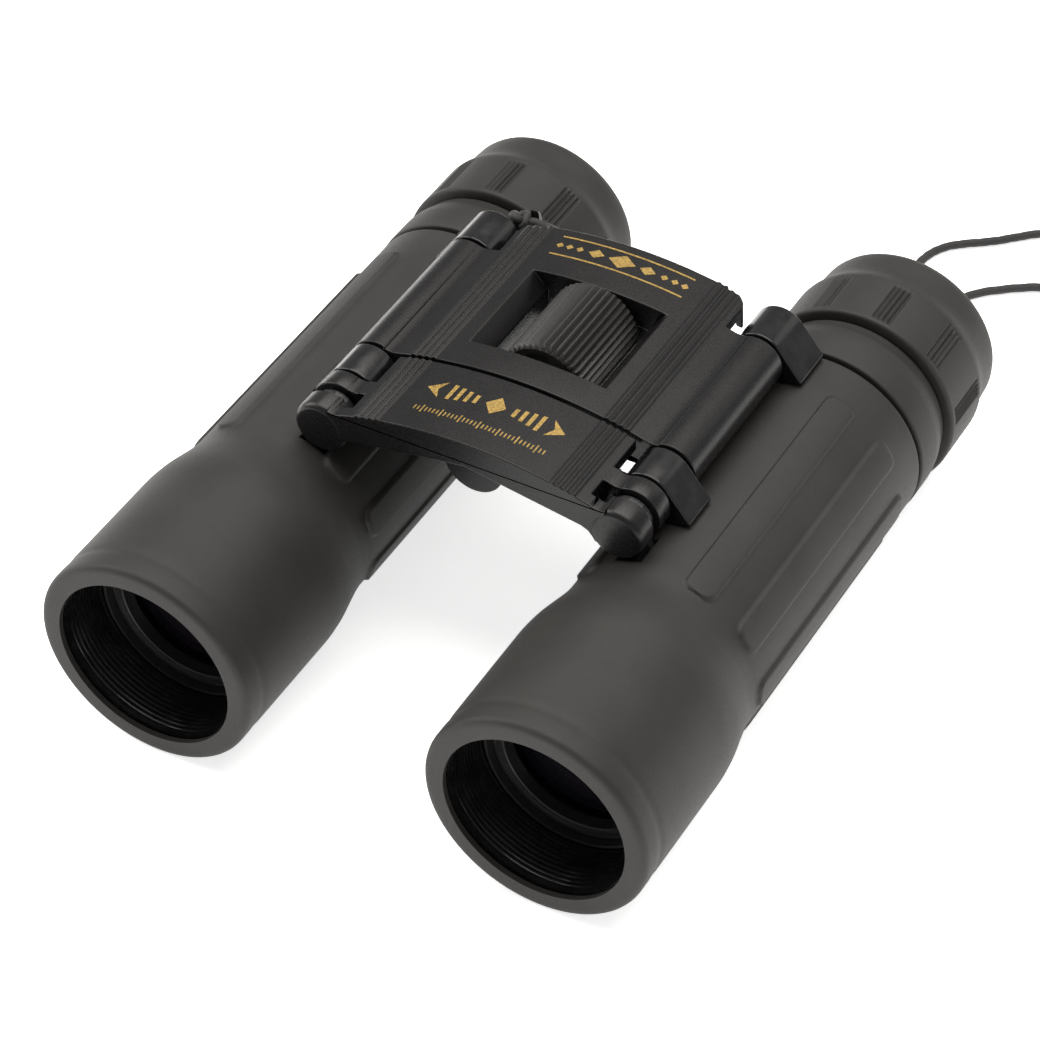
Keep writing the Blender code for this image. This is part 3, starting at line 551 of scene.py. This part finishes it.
rear_cuts = []
window = [(8.6, 25.0), (8.6, 38.2), (12.7, 43.0), (-12.7, 43.0), (-8.6, 38.2), (-8.6, 25.0)]
rear_cuts.append(extruded(window, 56.4, 74.4))
rear_cuts.append(extruded(under_arch(-10.0, 10.0, REAR_ARCH, 30.0, PLATE_THICKNESS, 6), 52.7, 54.6))
rear_cuts.append(extruded(circle((0.0, WHEEL_Z), 2.45, 32), 50.0, 80.0))
rear_cuts.append(extruded(circle((0.0, WHEEL_Z), 4.2, 32), 76.45, 79.2))
rear_joins = []
for start in (54.6, 75.2):
    bearing = [(-7.2, 31.6), (7.2, 31.6), (8.3, 33.4), (8.3, 39.0), (-8.3, 39.0), (-8.3, 33.4)]
    rear_joins.append(extruded(bearing, start, start + 1.5))
for side in (-1, 1):
    inner, outer = sorted((side * 8.0, side * 9.9))
    rear_joins.append(extruded([(inner, 33.1), (outer, 33.1), (outer, 38.9), (inner, 38.9)], 54.4, 76.4))
    inner, outer = sorted((side * 0.7, side * 11.8))
    rear_cuts.append(extruded(under_arch(inner, outer, REAR_ARCH, 30.0, PLATE_THICKNESS, 4), 76.7, 83.5))
    inner, outer = sorted((side * 13.4, side * 17.3))
    for start in (52.7, 63.3, 73.9):
        pocket = under_arch(inner, outer, REAR_ARCH, 30.0, PLATE_THICKNESS, 3)
        rear_cuts.append(extruded(pocket, start, start + 9.6))
    knuckle = [(51.5, 0.0), (51.5, KNUCKLE_RADIUS), (77.8, KNUCKLE_RADIUS), (77.8, 0.0)]
    rear_joins.append(turned(knuckle, (side * HINGE_X, HINGE_Z), 72, closed=False))
    open_side = under_arch(side * 16.0, side * 19.9, REAR_ARCH, 30.0, PLATE_THICKNESS, 3)
    rear_cuts.append(extruded(open_side, 78.4, 83.1))
    corner = [(side * REAR_NOTCH_X, 77.8), (side * 30.0, 77.8), (side * 30.0, 88.0), (side * 15.3, 88.0),
              (side * 15.3, 84.6), (side * 16.7, 84.6), (side * 17.7, 84.25), (side * 18.3, 83.6),
              (side * REAR_NOTCH_X, 82.6)]
    rear_cuts.append(extruded(corner, 25.0, 46.0, along="Z"))
    rear_cuts.append(extruded(circle((side * HINGE_X, HINGE_Z), PIN_BORE, 32), 48.0, 80.0))
rear_joins.append(extruded(circle((86.7, 37.3), 2.6, 32), -19.2, -18.0, along="X"))
rear_cuts.append(extruded(circle((86.7, 37.3), 1.6, 32), -21.0, -16.0, along="X"))
rear_blank = extruded(ribbed_section(REAR_ARCH, PLAIN_SKIRT), 51.2, 84.9)
rear_plate = shaped("rear_bridge_moulding", rear_blank, rear_joins, rear_cuts, 0.2, moulded, "bridge")
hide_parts("rear_bridge")


def foil(name, shapes, height, finish, body):
    """Stamped ornaments, a hair proud of the plate: each shape is a fan of (x, station) points."""
    bm = bmesh.new()
    for shape in shapes:
        levels = []
        for lift in (-0.06, 0.035):
            levels.append([bm.verts.new((x, y_at(station), height(x, station) + lift))
                           for x, station in shape])
        low, high = levels
        bm.faces.new(list(reversed(low)))
        bm.faces.new(high)
        for index in range(len(shape)):
            on = (index + 1) % len(shape)
            bm.faces.new((low[index], low[on], high[on], high[index]))
    bmesh.ops.recalc_face_normals(bm, faces=bm.faces)
    return built(name, bm, finish, body)


def diamond(x, station, half_wide, half_long):
    return [(x - half_wide, station), (x, station - half_long), (x + half_wide, station),
            (x, station + half_long)]


def rule(x0, x1, station, thickness):
    """A thin line across the plate, in short lengths so that it follows the arch."""
    parts = max(1, round((x1 - x0) / 1.2))
    lengths = []
    for k in range(parts):
        start = x0 + (x1 - x0) * k / parts
        end = x0 + (x1 - x0) * (k + 1) / parts
        lengths.append([(start, station - thickness / 2), (end, station - thickness / 2),
                        (end, station + thickness / 2), (start, station + thickness / 2)])
    return lengths


gilt, gilt_tree, gilt_shader = principled("stamped_gold", (0.36, 0.23, 0.055), 0.45)
gilt_wear = speckle(gilt_tree, 0.35, 4.0)
gilt_tree.links.new(two_tones(gilt_tree, gilt_wear.outputs["Fac"], (0.22, 0.14, 0.035), (0.46, 0.3, 0.075)),
                    gilt_shader.inputs["Base Color"])
gilt_tree.links.new(spread(gilt_tree, gilt_wear.outputs["Fac"], 0.35, 0.6), gilt_shader.inputs["Roughness"])
gilt_shader.inputs["Metallic"].default_value = 0.35

rear_marks = [diamond(0.0, 81.0, 2.2, 1.5), diamond(-4.2, 81.0, 1.3, 0.95), diamond(4.2, 81.0, 1.3, 0.95)]
for side in (-1, 1):
    for place in (6.9, 8.6, 10.2):
        rear_marks.append(diamond(side * place, 81.0, 0.6, 0.6))
rear_marks += rule(-10.8, 10.8, 83.1, 0.3) + rule(-10.8, 10.8, 78.8, 0.3)
foil("rear_gold_border", rear_marks, lambda x, station: arch(x, REAR_ARCH), gilt, "bridge")

# ---------------------------------------------------------------------------------------------
# Hinge pins. A ground steel rod on each side, pressed through the knuckles of both bridge plates
# and the lugs of the barrel, so that each barrel folds about its own rod.
steel, steel_tree, steel_shader = principled("bright_steel", (0.55, 0.55, 0.56), 0.3)
steel_grain = speckle(steel_tree, 0.5, 6.0)
steel_tree.links.new(two_tones(steel_tree, steel_grain.outputs["Fac"], (0.45, 0.45, 0.46),
                               (0.6, 0.6, 0.61)), steel_shader.inputs["Base Color"])
steel_tree.links.new(spread(steel_tree, steel_grain.outputs["Fac"], 0.22, 0.4),
                     steel_shader.inputs["Roughness"])
steel_shader.inputs["Metallic"].default_value = 1.0


def refinish(node, finish):
    """Gives a CAD piece that stays in view, or inside, its real finish."""
    bpy.data.objects[node].material_slots[0].material = finish


for hand in ("left", "right"):
    refinish("hinge_pin_" + hand, steel)

# ---------------------------------------------------------------------------------------------
# Focus drive. A ribbed plastic wheel is fixed on a steel shaft that turns in the rear bridge, held
# by a spring clip; its thread pulls a brass nut in the front bridge to and fro.
WHEEL_RADIUS = 6.85
wheel_rings = [(57.8, 0.75), (58.05, 0.3), (58.5, 0.0), (73.2, 0.0), (73.65, 0.3), (73.9, 0.75)]
wheel_ribs = 40
wheel_form = bmesh.new()
wheel_sides = wheel_ribs * 6
rib_shape = (0.0, 0.0, 0.55, 1.0, 0.72, 0.3)
loops = []
for station, inset in wheel_rings:
    ring = []
    for k in range(wheel_sides):
        depth = 0.5 * rib_shape[k % 6]
        radius = WHEEL_RADIUS - max(inset, depth + inset * 0.35)
        turn = 2 * math.pi * k / wheel_sides
        ring.append(wheel_form.verts.new((radius * math.cos(turn), y_at(station),
                                          WHEEL_Z + radius * math.sin(turn))))
    loops.append(ring)
for station, radius in ((73.9, 5.2), (73.3, 4.9), (73.3, 2.45), (58.4, 2.45), (58.4, 4.9), (57.8, 5.2)):
    loops.append([wheel_form.verts.new((radius * math.cos(2 * math.pi * k / wheel_sides), y_at(station),
                                        WHEEL_Z + radius * math.sin(2 * math.pi * k / wheel_sides)))
                  for k in range(wheel_sides)])
for index in range(len(loops)):
    here = loops[index]
    after = loops[(index + 1) % len(loops)]
    for k in range(wheel_sides):
        on = (k + 1) % wheel_sides
        wheel_form.faces.new((here[k], here[on], after[on], after[k]))
bmesh.ops.recalc_face_normals(wheel_form, faces=wheel_form.faces)
grip, grip_tree, grip_shader = principled("wheel_plastic", (0.012, 0.011, 0.0105), 0.42)
grip_dust = speckle(grip_tree, 0.3, 4.0)
grip_tree.links.new(two_tones(grip_tree, grip_dust.outputs["Fac"], (0.009, 0.0082, 0.0077),
                              (0.018, 0.0165, 0.0152)), grip_shader.inputs["Base Color"])
grip_tree.links.new(spread(grip_tree, grip_dust.outputs["Fac"], 0.34, 0.55), grip_shader.inputs["Roughness"])
dents(grip_tree, grip_shader, grip_dust.outputs["Fac"], 0.012, 0.4)
wheel = built("ribbed_focus_wheel", wheel_form, grip, "focus_wheel", 28.0)
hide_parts("focus_wheel")
refinish("focus_screw", steel)
refinish("shaft_clip", steel)
brass, brass_tree, brass_shader = principled("turned_brass", (0.62, 0.45, 0.18), 0.3)
brass_lines = speckle(brass_tree, 0.4, 5.0)
brass_tree.links.new(two_tones(brass_tree, brass_lines.outputs["Fac"], (0.5, 0.35, 0.13),
                               (0.68, 0.5, 0.21)), brass_shader.inputs["Base Color"])
brass_tree.links.new(spread(brass_tree, brass_lines.outputs["Fac"], 0.22, 0.4),
                     brass_shader.inputs["Roughness"])
brass_shader.inputs["Metallic"].default_value = 1.0
refinish("focus_nut", brass)

# ---------------------------------------------------------------------------------------------
# Front bridge. A second black ABS moulding, which slides forward on the pins as the wheel turns and
# takes the objectives' arms along. It carries on the rear plate's arch and ribs.
FRONT_START = 35.8
FRONT_END = 50.6
front_cuts = []
front_joins = [turned([(38.3, 0.0), (38.3, 4.6), (50.2, 4.6), (50.2, 0.0)], (0.0, WHEEL_Z), 64, closed=False)]
for side in (-1, 1):
    hinge = (side * HINGE_X, HINGE_Z)
    knob = [(35.8, 0.0), (35.8, 3.2), (35.9, 3.55), (36.15, 3.85), (36.5, 4.03), (36.95, KNUCKLE_RADIUS)]
    knob += [(39.3, KNUCKLE_RADIUS), (39.5, 3.9), (39.5, PIN_BORE), (36.9, PIN_BORE), (36.9, 0.0)]
    thin = softened([(41.2, PIN_BORE), (41.2, KNUCKLE_RADIUS), (44.3, KNUCKLE_RADIUS), (44.3, PIN_BORE)], 0.2)
    hand = "left" if side > 0 else "right"
    built("front_knob_" + hand, turned(knob, hinge, 72, closed=False), moulded, "front_bridge")
    built("thin_knuckle_" + hand, turned(thin, hinge, 72), moulded, "front_bridge")
    for near, reach, start, end, steps in ((5.8, 17.0, 37.8, 52.0, 4), (14.2, 19.8, 45.2, 53.0, 2)):
        pocket = under_arch(side * near, side * reach, REAR_ARCH, 30.0, PLATE_THICKNESS, steps)
        front_cuts.append(extruded(pocket, start, end))
    arm_slot = [(18.9, 38.0), (21.2, 38.0), (21.2, 39.5), (30.0, 39.5), (30.0, 41.2), (18.9, 41.2)]
    lug_slot = [(18.9, 44.3), (30.0, 44.3), (30.0, 52.0), (18.9, 52.0)]
    for slot_plan in (arm_slot, lug_slot):
        front_cuts.append(extruded([(side * x, at) for x, at in slot_plan], 25.0, 46.0, along="Z"))
front_cuts.append(extruded(circle((0.0, WHEEL_Z), 3.95, 40), 39.6, 52.0))
front_blank = extruded(ribbed_section(FRONT_ARCH, WEBBED_SKIRT), FRONT_START + 0.07, FRONT_END,
                       ribbed_section(REAR_ARCH, WEBBED_SKIRT))
front_plate = shaped("front_bridge_moulding", front_blank, front_joins, front_cuts, 0.2, moulded,
                     "front_bridge")
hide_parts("front_bridge")


def front_top(x, station):
    share = (station - FRONT_START) / (FRONT_END - FRONT_START)
    return arch(x, FRONT_ARCH) * (1.0 - share) + arch(x, REAR_ARCH) * share


front_marks = [diamond(0.0, 45.0, 1.6, 1.9)]
for side in (-1, 1):
    for place, tall in ((3.1, 0.9), (4.4, 1.15), (5.7, 1.4), (7.0, 1.65)):
        front_marks.append([(side * (place - 0.3), 45.0 - tall), (side * (place + 0.3), 45.0 - tall),
                            (side * (place + 0.3), 45.0 + tall), (side * (place - 0.3), 45.0 + tall)])
    front_marks.append([(side * 8.4, 43.2), (side * 10.9, 45.0), (side * 8.4, 46.8), (side * 9.2, 45.0)])
for k in range(-17, 18):
    tall = 0.8 if k % 5 == 0 else 0.45
    front_marks.append([(k * 0.6 - 0.1, 40.3 - tall), (k * 0.6 + 0.1, 40.3 - tall),
                        (k * 0.6 + 0.1, 40.3 + tall), (k * 0.6 - 0.1, 40.3 + tall)])
foil("front_gold_scale", front_marks, front_top, gilt, "front_bridge")

# ---------------------------------------------------------------------------------------------
# Barrels. Each is a black plastic tube under the rubber, with screw rings in the mouth against
# stray light, and two solid lugs that carry it on its hinge pin.
AXIS_X = 30.75
AXIS_Z = 16.9
HOUSING_RADIUS = 13.9
HINGE_ANGLE = math.degrees(math.atan2(18.3, -7.25))
FOOT_RADIUS = 15.55
LUG_ENDS = {"front": (44.7, 51.0), "rear": (78.3, 85.6)}
glossy, glossy_tree, glossy_shader = principled("polished_black_plastic", (0.006, 0.0056, 0.0058), 0.17)
gloss_tone = speckle(glossy_tree, 2.5, 4.0)
glossy_tree.links.new(two_tones(glossy_tree, gloss_tone.outputs["Fac"], (0.004, 0.0037, 0.0039),
                                (0.008, 0.0074, 0.0077)), glossy_shader.inputs["Base Color"])
glossy_tree.links.new(spread(glossy_tree, gloss_tone.outputs["Fac"], 0.13, 0.24),
                      glossy_shader.inputs["Roughness"])
gloss_waves = speckle(glossy_tree, 1.3, 2.0)
dents(glossy_tree, glossy_shader, gloss_waves.outputs["Fac"], 0.02, 0.25)


def about_barrel(side, radius, angle):
    """The (x, z) point at an angle from straight outboard about a barrel's axis."""
    turned_to = math.radians(angle)
    return (side * (AXIS_X + radius * math.cos(turned_to)), AXIS_Z + radius * math.sin(turned_to))


def sector(side, inner, outer, angles):
    middle = sum(angles) / 2.0
    return [about_barrel(side, inner, angles[0]), about_barrel(side, outer, angles[0]),
            about_barrel(side, outer, middle), about_barrel(side, outer, angles[1]),
            about_barrel(side, inner, angles[1]), about_barrel(side, inner, middle)]


def lug_section(side):
    """A lug in (x, z): round knuckle, flat flank and a pointed foot that lies on the rubber."""
    tip = about_barrel(side, FOOT_RADIUS + 0.5, 91.5)
    reach = (side * tip[0] - HINGE_X, tip[1] - HINGE_Z)
    away = math.hypot(*reach)
    first = math.degrees(math.atan2(reach[1], reach[0])) + math.degrees(math.acos(KNUCKLE_RADIUS / away))
    last = HINGE_ANGLE + 180.0
    points = []
    for k in range(31):
        turned_to = math.radians(first + (last - first) * k / 30)
        points.append((side * (HINGE_X + KNUCKLE_RADIUS * math.cos(turned_to)),
                       HINGE_Z + KNUCKLE_RADIUS * math.sin(turned_to)))
    for k in range(1, 9):
        points.append(about_barrel(side, FOOT_RADIUS, HINGE_ANGLE + (92.0 - HINGE_ANGLE) * k / 8))
    points.append(tip)
    return points


mouth_thread = []
thread_start, thread_pitch, thread_count = 1.6, 0.8, 10
for k in range(thread_count):
    at = thread_start + k * thread_pitch
    mouth_thread += [(at, 13.65), (at + 0.36, 13.48), (at + 0.52, 13.48)]
tube_profile = [(27.5, 12.5), (27.5, 13.65)] + list(reversed(mouth_thread)) + [
    (1.2, 13.65), (1.2, 15.2), (23.5, 15.2), (34.7, HOUSING_RADIUS), (86.1, HOUSING_RADIUS), (86.1, 12.5)]
for side, hand in ((1, "left"), (-1, "right")):
    barrel_body = "barrel_" + hand
    tube = built("barrel_tube_" + hand, turned(tube_profile, (side * AXIS_X, AXIS_Z), 112), glossy,
                 barrel_body, 35.0)
    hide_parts("barrel_" + hand)
    for name, (start, end) in LUG_ENDS.items():
        root = extruded(sector(side, 13.2, 16.25, (98.3, 107.1)), start + 0.9, end - 0.9)
        pin_hole = extruded(circle((side * HINGE_X, HINGE_Z), PIN_BORE, 32), 40.0, 90.0)
        shaped(f"{name}_lug_{hand}", extruded(lug_section(side), start, end), [root], [pin_hole], 0.28,
               glossy, barrel_body)

# ---------------------------------------------------------------------------------------------
# Armour. A sleeve of soft black rubber, moulded to shape and glued over each barrel: a rolled rim
# round the mouth, a taper, and long raised pads for the fingers.
ARMOUR_RADIUS = 15.25
PAD_PITCH = 36.0
PAD_HALF_WIDTH = 2.28
PAD_ENDS = (35.0, 79.5)
PAD_HEIGHT = 0.5
PAD_CORNER = 1.5
FIRST_PAD = {"left": 68.0, "right": 58.0}
rubber, rubber_tree, rubber_shader = principled("armour_rubber", (0.02, 0.0185, 0.017), 0.6)
rubber_shade = speckle(rubber_tree, 9.0, 4.0)
rubber_grain = speckle(rubber_tree, 0.16, 2.0)
rubber_tree.links.new(two_tones(rubber_tree, rubber_shade.outputs["Fac"], (0.017, 0.0157, 0.0143),
                                (0.0235, 0.0217, 0.02)), rubber_shader.inputs["Base Color"])
rubber_tree.links.new(spread(rubber_tree, rubber_grain.outputs["Fac"], 0.52, 0.68),
                      rubber_shader.inputs["Roughness"])
dents(rubber_tree, rubber_shader, rubber_grain.outputs["Fac"], 0.02, 0.5)
rubber_shader.inputs["Specular IOR Level"].default_value = 0.4

outer_line = softened([(0.0, 13.75), (0.0, 16.9), (23.5, 16.9), (26.5, 16.6), (29.5, 15.95), (32.0, 15.45),
                       (34.0, ARMOUR_RADIUS)], 1.25, 6, closed=False)
outer_line = [(station, radius - 0.12 * math.exp(-((station - 4.2) / 0.8) ** 2))
              for station, radius in outer_line]
extra = [(2.6 + 0.4 * k, 16.9 - 0.14 * math.exp(-((2.6 + 0.4 * k - 4.2) / 0.7) ** 2)) for k in range(9)]
outer_line = sorted(outer_line + extra, key=lambda point: (point[0] > 2.4, point[0] if point[0] > 2.4 else 0))
stations = [34.3 + 0.28 * k for k in range(11)] + [39.0 + 2.0 * k for k in range(19)]
stations += [76.9 + 0.28 * k for k in range(12)] + [82.0, 84.0, 85.2, 85.55]
outer_line += [(station, ARMOUR_RADIUS) for station in stations]
outer_line += [(85.75, 15.2), (85.88, 15.05), (85.9, 14.8)]
inner_line = [(85.9, 14.25), (35.0, 14.25), (23.8, 15.55), (1.25, 15.55), (0.9, 15.4), (0.9, 13.8)]
armour_sides = 336


def pad_rise(angle, station, hand):
    """How far the rubber stands up here: full on a pad, nothing between them."""
    step = (angle - FIRST_PAD[hand]) / PAD_PITCH
    nearest = FIRST_PAD[hand] + round(step) * PAD_PITCH
    if abs((nearest - 100.0 + 180.0) % 360.0 - 180.0) < 12.0:
        return 0.0
    across = abs(math.radians(angle - nearest)) * ARMOUR_RADIUS - (PAD_HALF_WIDTH - PAD_CORNER)
    middle = sum(PAD_ENDS) / 2.0
    along = abs(station - middle) - (PAD_ENDS[1] - middle - PAD_CORNER)
    outside = math.hypot(max(across, 0.0), max(along, 0.0)) + min(max(across, along), 0.0) - PAD_CORNER
    share = min(1.0, max(0.0, 0.5 - outside / 0.5))
    return PAD_HEIGHT * share * share * (3 - 2 * share)


for side, hand in ((1, "left"), (-1, "right")):
    sleeve = bmesh.new()
    rings = []
    for station, radius in outer_line + inner_line:
        ring = []
        padded_ring = radius >= ARMOUR_RADIUS - 1e-6 and 34.0 < station < 81.0
        for k in range(armour_sides):
            angle = 360.0 * k / armour_sides
            rise = pad_rise(angle, station, hand) if padded_ring else 0.0
            x, z = about_barrel(side, radius + rise, angle)
            ring.append(sleeve.verts.new((x, y_at(station), z)))
        rings.append(ring)
    for index in range(len(rings)):
        here = rings[index]
        after = rings[(index + 1) % len(rings)]
        for k in range(armour_sides):
            on = (k + 1) % armour_sides
            sleeve.faces.new((here[k], here[on], after[on], after[k]))
    bmesh.ops.recalc_face_normals(sleeve, faces=sleeve.faces)
    arm_room = extruded(sector(side, 11.0, 17.0, (HINGE_ANGLE - 8.2, HINGE_ANGLE + 8.2)), 36.35, 41.35)
    armour = shaped("rubber_armour_" + hand, sleeve, [], [arm_room], 0.0, rubber, "barrel_" + hand)
    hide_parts("armour_" + hand)

# ---------------------------------------------------------------------------------------------
# Rear caps. A rubber-covered collar is screwed into the back of each barrel and steps down to the
# eyepiece.
cap_profile = softened([(80.0, 11.2), (80.0, 12.15), (86.6, 12.15), (86.6, 15.4), (91.5, 15.4), (93.3, 15.1),
                        (94.5, 14.6), (95.7, 14.45), (95.7, 11.2)], 0.4, 3)
for side, hand in ((1, "left"), (-1, "right")):
    cap = built("rear_collar_" + hand, turned(cap_profile, (side * AXIS_X, AXIS_Z), 128), rubber,
                "barrel_" + hand, 50.0)
    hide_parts("rear_cap_" + hand)

# ---------------------------------------------------------------------------------------------
# Objectives. A matt black cell slides in each barrel, moved by a steel arm from the front bridge;
# a screwed ring holds the coated front lens in it.
matt, matt_tree, matt_shader = principled("matt_black_plastic", (0.012, 0.012, 0.012), 0.5)
matt_grain = speckle(matt_tree, 0.3, 3.0)
matt_tree.links.new(two_tones(matt_tree, matt_grain.outputs["Fac"], (0.008, 0.008, 0.008),
                              (0.018, 0.017, 0.017)), matt_shader.inputs["Base Color"])
matt_tree.links.new(spread(matt_tree, matt_grain.outputs["Fac"], 0.32, 0.55), matt_shader.inputs["Roughness"])
dents(matt_tree, matt_shader, matt_grain.outputs["Fac"], 0.01, 0.4)
coated, coated_tree, coated_shader = principled("coated_glass", (0.006, 0.005, 0.008), 0.03)
coating = speckle(coated_tree, 14.0, 2.0)
coated_tree.links.new(two_tones(coated_tree, coating.outputs["Fac"], (0.004, 0.004, 0.007),
                                (0.009, 0.006, 0.01)), coated_shader.inputs["Base Color"])
coated_tree.links.new(spread(coated_tree, coating.outputs["Fac"], 0.02, 0.05),
                      coated_shader.inputs["Roughness"])
coated_shader.inputs["IOR"].default_value = 1.52
coated_shader.inputs["Coat Weight"].default_value = 0.8
coated_shader.inputs["Coat Roughness"].default_value = 0.02
coated_shader.inputs["Coat IOR"].default_value = 1.38


def dome(apex, edge, radius, steps):
    """Stations and radii of a ground glass face, from its middle out to its edge."""
    return [(apex + (edge - apex) * (k / steps) ** 2, radius * k / steps) for k in range(steps + 1)]


cell_profile = softened([(9.8, 12.85), (9.8, 13.3), (24.5, 13.3), (24.5, 12.1), (43.0, 12.1), (43.0, 11.3),
                         (19.0, 11.3), (19.0, 12.85)], 0.15, 2)
ring_profile = [(11.0, 12.5), (11.0, 12.0), (11.35, 11.8), (11.35, 11.5), (11.0, 11.3), (11.0, 11.05),
                (11.15, 10.9), (13.0, 10.9), (13.9, 11.6), (13.9, 12.5)]
front_lens = dome(13.0, 14.7, 12.5, 14) + list(reversed(dome(18.6, 17.3, 12.5, 6)))
blackened, blackened_tree, blackened_shader = principled("blackened_steel", (0.02, 0.02, 0.021), 0.35)
blackened_grain = speckle(blackened_tree, 0.4, 5.0)
blackened_tree.links.new(two_tones(blackened_tree, blackened_grain.outputs["Fac"], (0.012, 0.012, 0.013),
                                   (0.03, 0.03, 0.031)), blackened_shader.inputs["Base Color"])
blackened_tree.links.new(spread(blackened_tree, blackened_grain.outputs["Fac"], 0.28, 0.45),
                         blackened_shader.inputs["Roughness"])
for side, hand in ((1, "left"), (-1, "right")):
    moving = "objective_" + hand
    centre = (side * AXIS_X, AXIS_Z)
    arm_notch = extruded(sector(side, 10.0, 13.0, (HINGE_ANGLE - 8.8, HINGE_ANGLE + 8.8)), 39.5, 44.0)
    cell = shaped("lens_cell_" + hand, turned(cell_profile, centre, 96), [], [arm_notch], 0.0, matt, moving)
    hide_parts("objective_cell_" + hand)
    keeper = built("lens_keeper_" + hand, turned(ring_profile, centre, 96), matt, moving,
                   30.0)
    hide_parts("objective_ring_" + hand)
    front_glass = built("front_lens_" + hand, turned(front_lens, centre, 96, closed=False), coated, moving,
                        40.0)
    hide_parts("objective_lens_" + hand)
    refinish("focus_arm_" + hand, blackened)

# ---------------------------------------------------------------------------------------------
# Prisms. Inside each barrel a roof pair of ground glass sits in a matt cage and turns the picture
# upright. Cage and prisms are dropped in from behind before the collar goes on.
for hand in ("left", "right"):
    refinish("prism_cage_" + hand, matt)
    refinish("entrance_prism_" + hand, coated)
    refinish("roof_prism_" + hand, coated)

# ---------------------------------------------------------------------------------------------
# Eyepieces. A lens tube stands in each collar, with a plastic ring and a rubber eyecup round it; on
# the user's right the ring turns and moves the lenses as the dioptre setting. The cup has patches
# of fine grooves for the fingers, and a soft lip that can be rolled back.
CUP_RADIUS = 15.75
KNURL_PATCH = 5.75
KNURL_PITCH = 36.0
KNURL_GROOVES = 4
KNURL_ENDS = (97.0, 105.2)
KNURL_DEPTH = 0.38
FIRST_KNURL = {"left": 43.0, "right": 52.5}
cup_outer = [(96.15, 13.6), (96.15, 15.2), (96.2, 15.42), (96.32, 15.6), (96.5, 15.72), (96.75, CUP_RADIUS)]
cup_outer += [(97.0 + 0.25 * k, CUP_RADIUS) for k in range(5)]
cup_outer += [(99.0 + 1.0 * k, CUP_RADIUS) for k in range(5)]
cup_outer += [(104.0 + 0.25 * k, CUP_RADIUS) for k in range(6)]
cup_outer += [(105.6, 15.73), (106.0, 15.66), (106.6, 15.46), (107.3, 15.2), (108.0, 15.0), (109.2, 14.85),
              (111.0, 14.76), (112.4, 14.66), (113.1, 14.42), (113.6, 14.05), (113.9, 13.7), (114.0, 13.35),
              (113.9, 13.05), (113.7, 12.8)]
cup_inner = [(112.6, 12.72), (110.5, 12.8), (107.5, 12.8), (105.4, 12.8), (105.4, 13.6), (100.0, 13.6)]
cup_sides = 720


def knurl_depth(angle, station, hand):
    """Depth of the finger grooves at this place."""
    nearest = FIRST_KNURL[hand] + round((angle - FIRST_KNURL[hand]) / KNURL_PITCH) * KNURL_PITCH
    inside = (angle - nearest) / KNURL_PATCH
    if abs(inside) >= 1.0 or not KNURL_ENDS[0] < station < KNURL_ENDS[1]:
        return 0.0
    wave = 0.5 - 0.5 * math.cos(math.pi * (inside + 1.0) * KNURL_GROOVES)
    near_end = min(station - KNURL_ENDS[0], KNURL_ENDS[1] - station)
    return KNURL_DEPTH * min(1.0, wave * 1.3) * min(1.0, near_end / 0.45)


tube_profile = softened([(78.0, 9.6), (78.0, 10.85), (111.6, 10.85), (112.0, 10.5), (112.0, 9.6)], 0.15, 2)
eye_lens = [(104.0, 0.0), (104.0, 9.25)] + list(reversed(dome(109.0, 107.8, 9.25, 10)))
for side, hand in ((1, "left"), (-1, "right")):
    cup_body = {"left": "barrel_left", "right": "dioptre_ring"}[hand]
    lens_body = {"left": "barrel_left", "right": "dioptre_lenses"}[hand]
    centre = (side * AXIS_X, AXIS_Z)
    cup_form = bmesh.new()
    rings = []
    for station, radius in cup_outer + cup_inner:
        ring = []
        for k in range(cup_sides):
            angle = 360.0 * k / cup_sides
            depth = knurl_depth(angle, station, hand) if radius > 15.6 else 0.0
            x, z = about_barrel(side, radius - depth, angle)
            ring.append(cup_form.verts.new((x, y_at(station), z)))
        rings.append(ring)
    for index in range(len(rings)):
        here = rings[index]
        after = rings[(index + 1) % len(rings)]
        for k in range(cup_sides):
            on = (k + 1) % cup_sides
            cup_form.faces.new((here[k], here[on], after[on], after[k]))
    bmesh.ops.recalc_face_normals(cup_form, faces=cup_form.faces)
    cup = built("rubber_eyecup_" + hand, cup_form, rubber, cup_body, 55.0)
    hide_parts("eyecup_" + hand)
    lens_tube = built("lens_tube_" + hand, turned(tube_profile, centre, 96), matt, lens_body,
                      35.0)
    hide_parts("eyepiece_tube_" + hand)
    rear_glass = built("eye_glass_" + hand, turned(eye_lens, centre, 96, closed=False), coated, lens_body,
                       40.0)
    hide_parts("eye_lens_" + hand)
    refinish("eyepiece_ring_" + hand, matt)
    refinish("field_lens_" + hand, coated)
    refinish("field_stop_" + hand, matt)
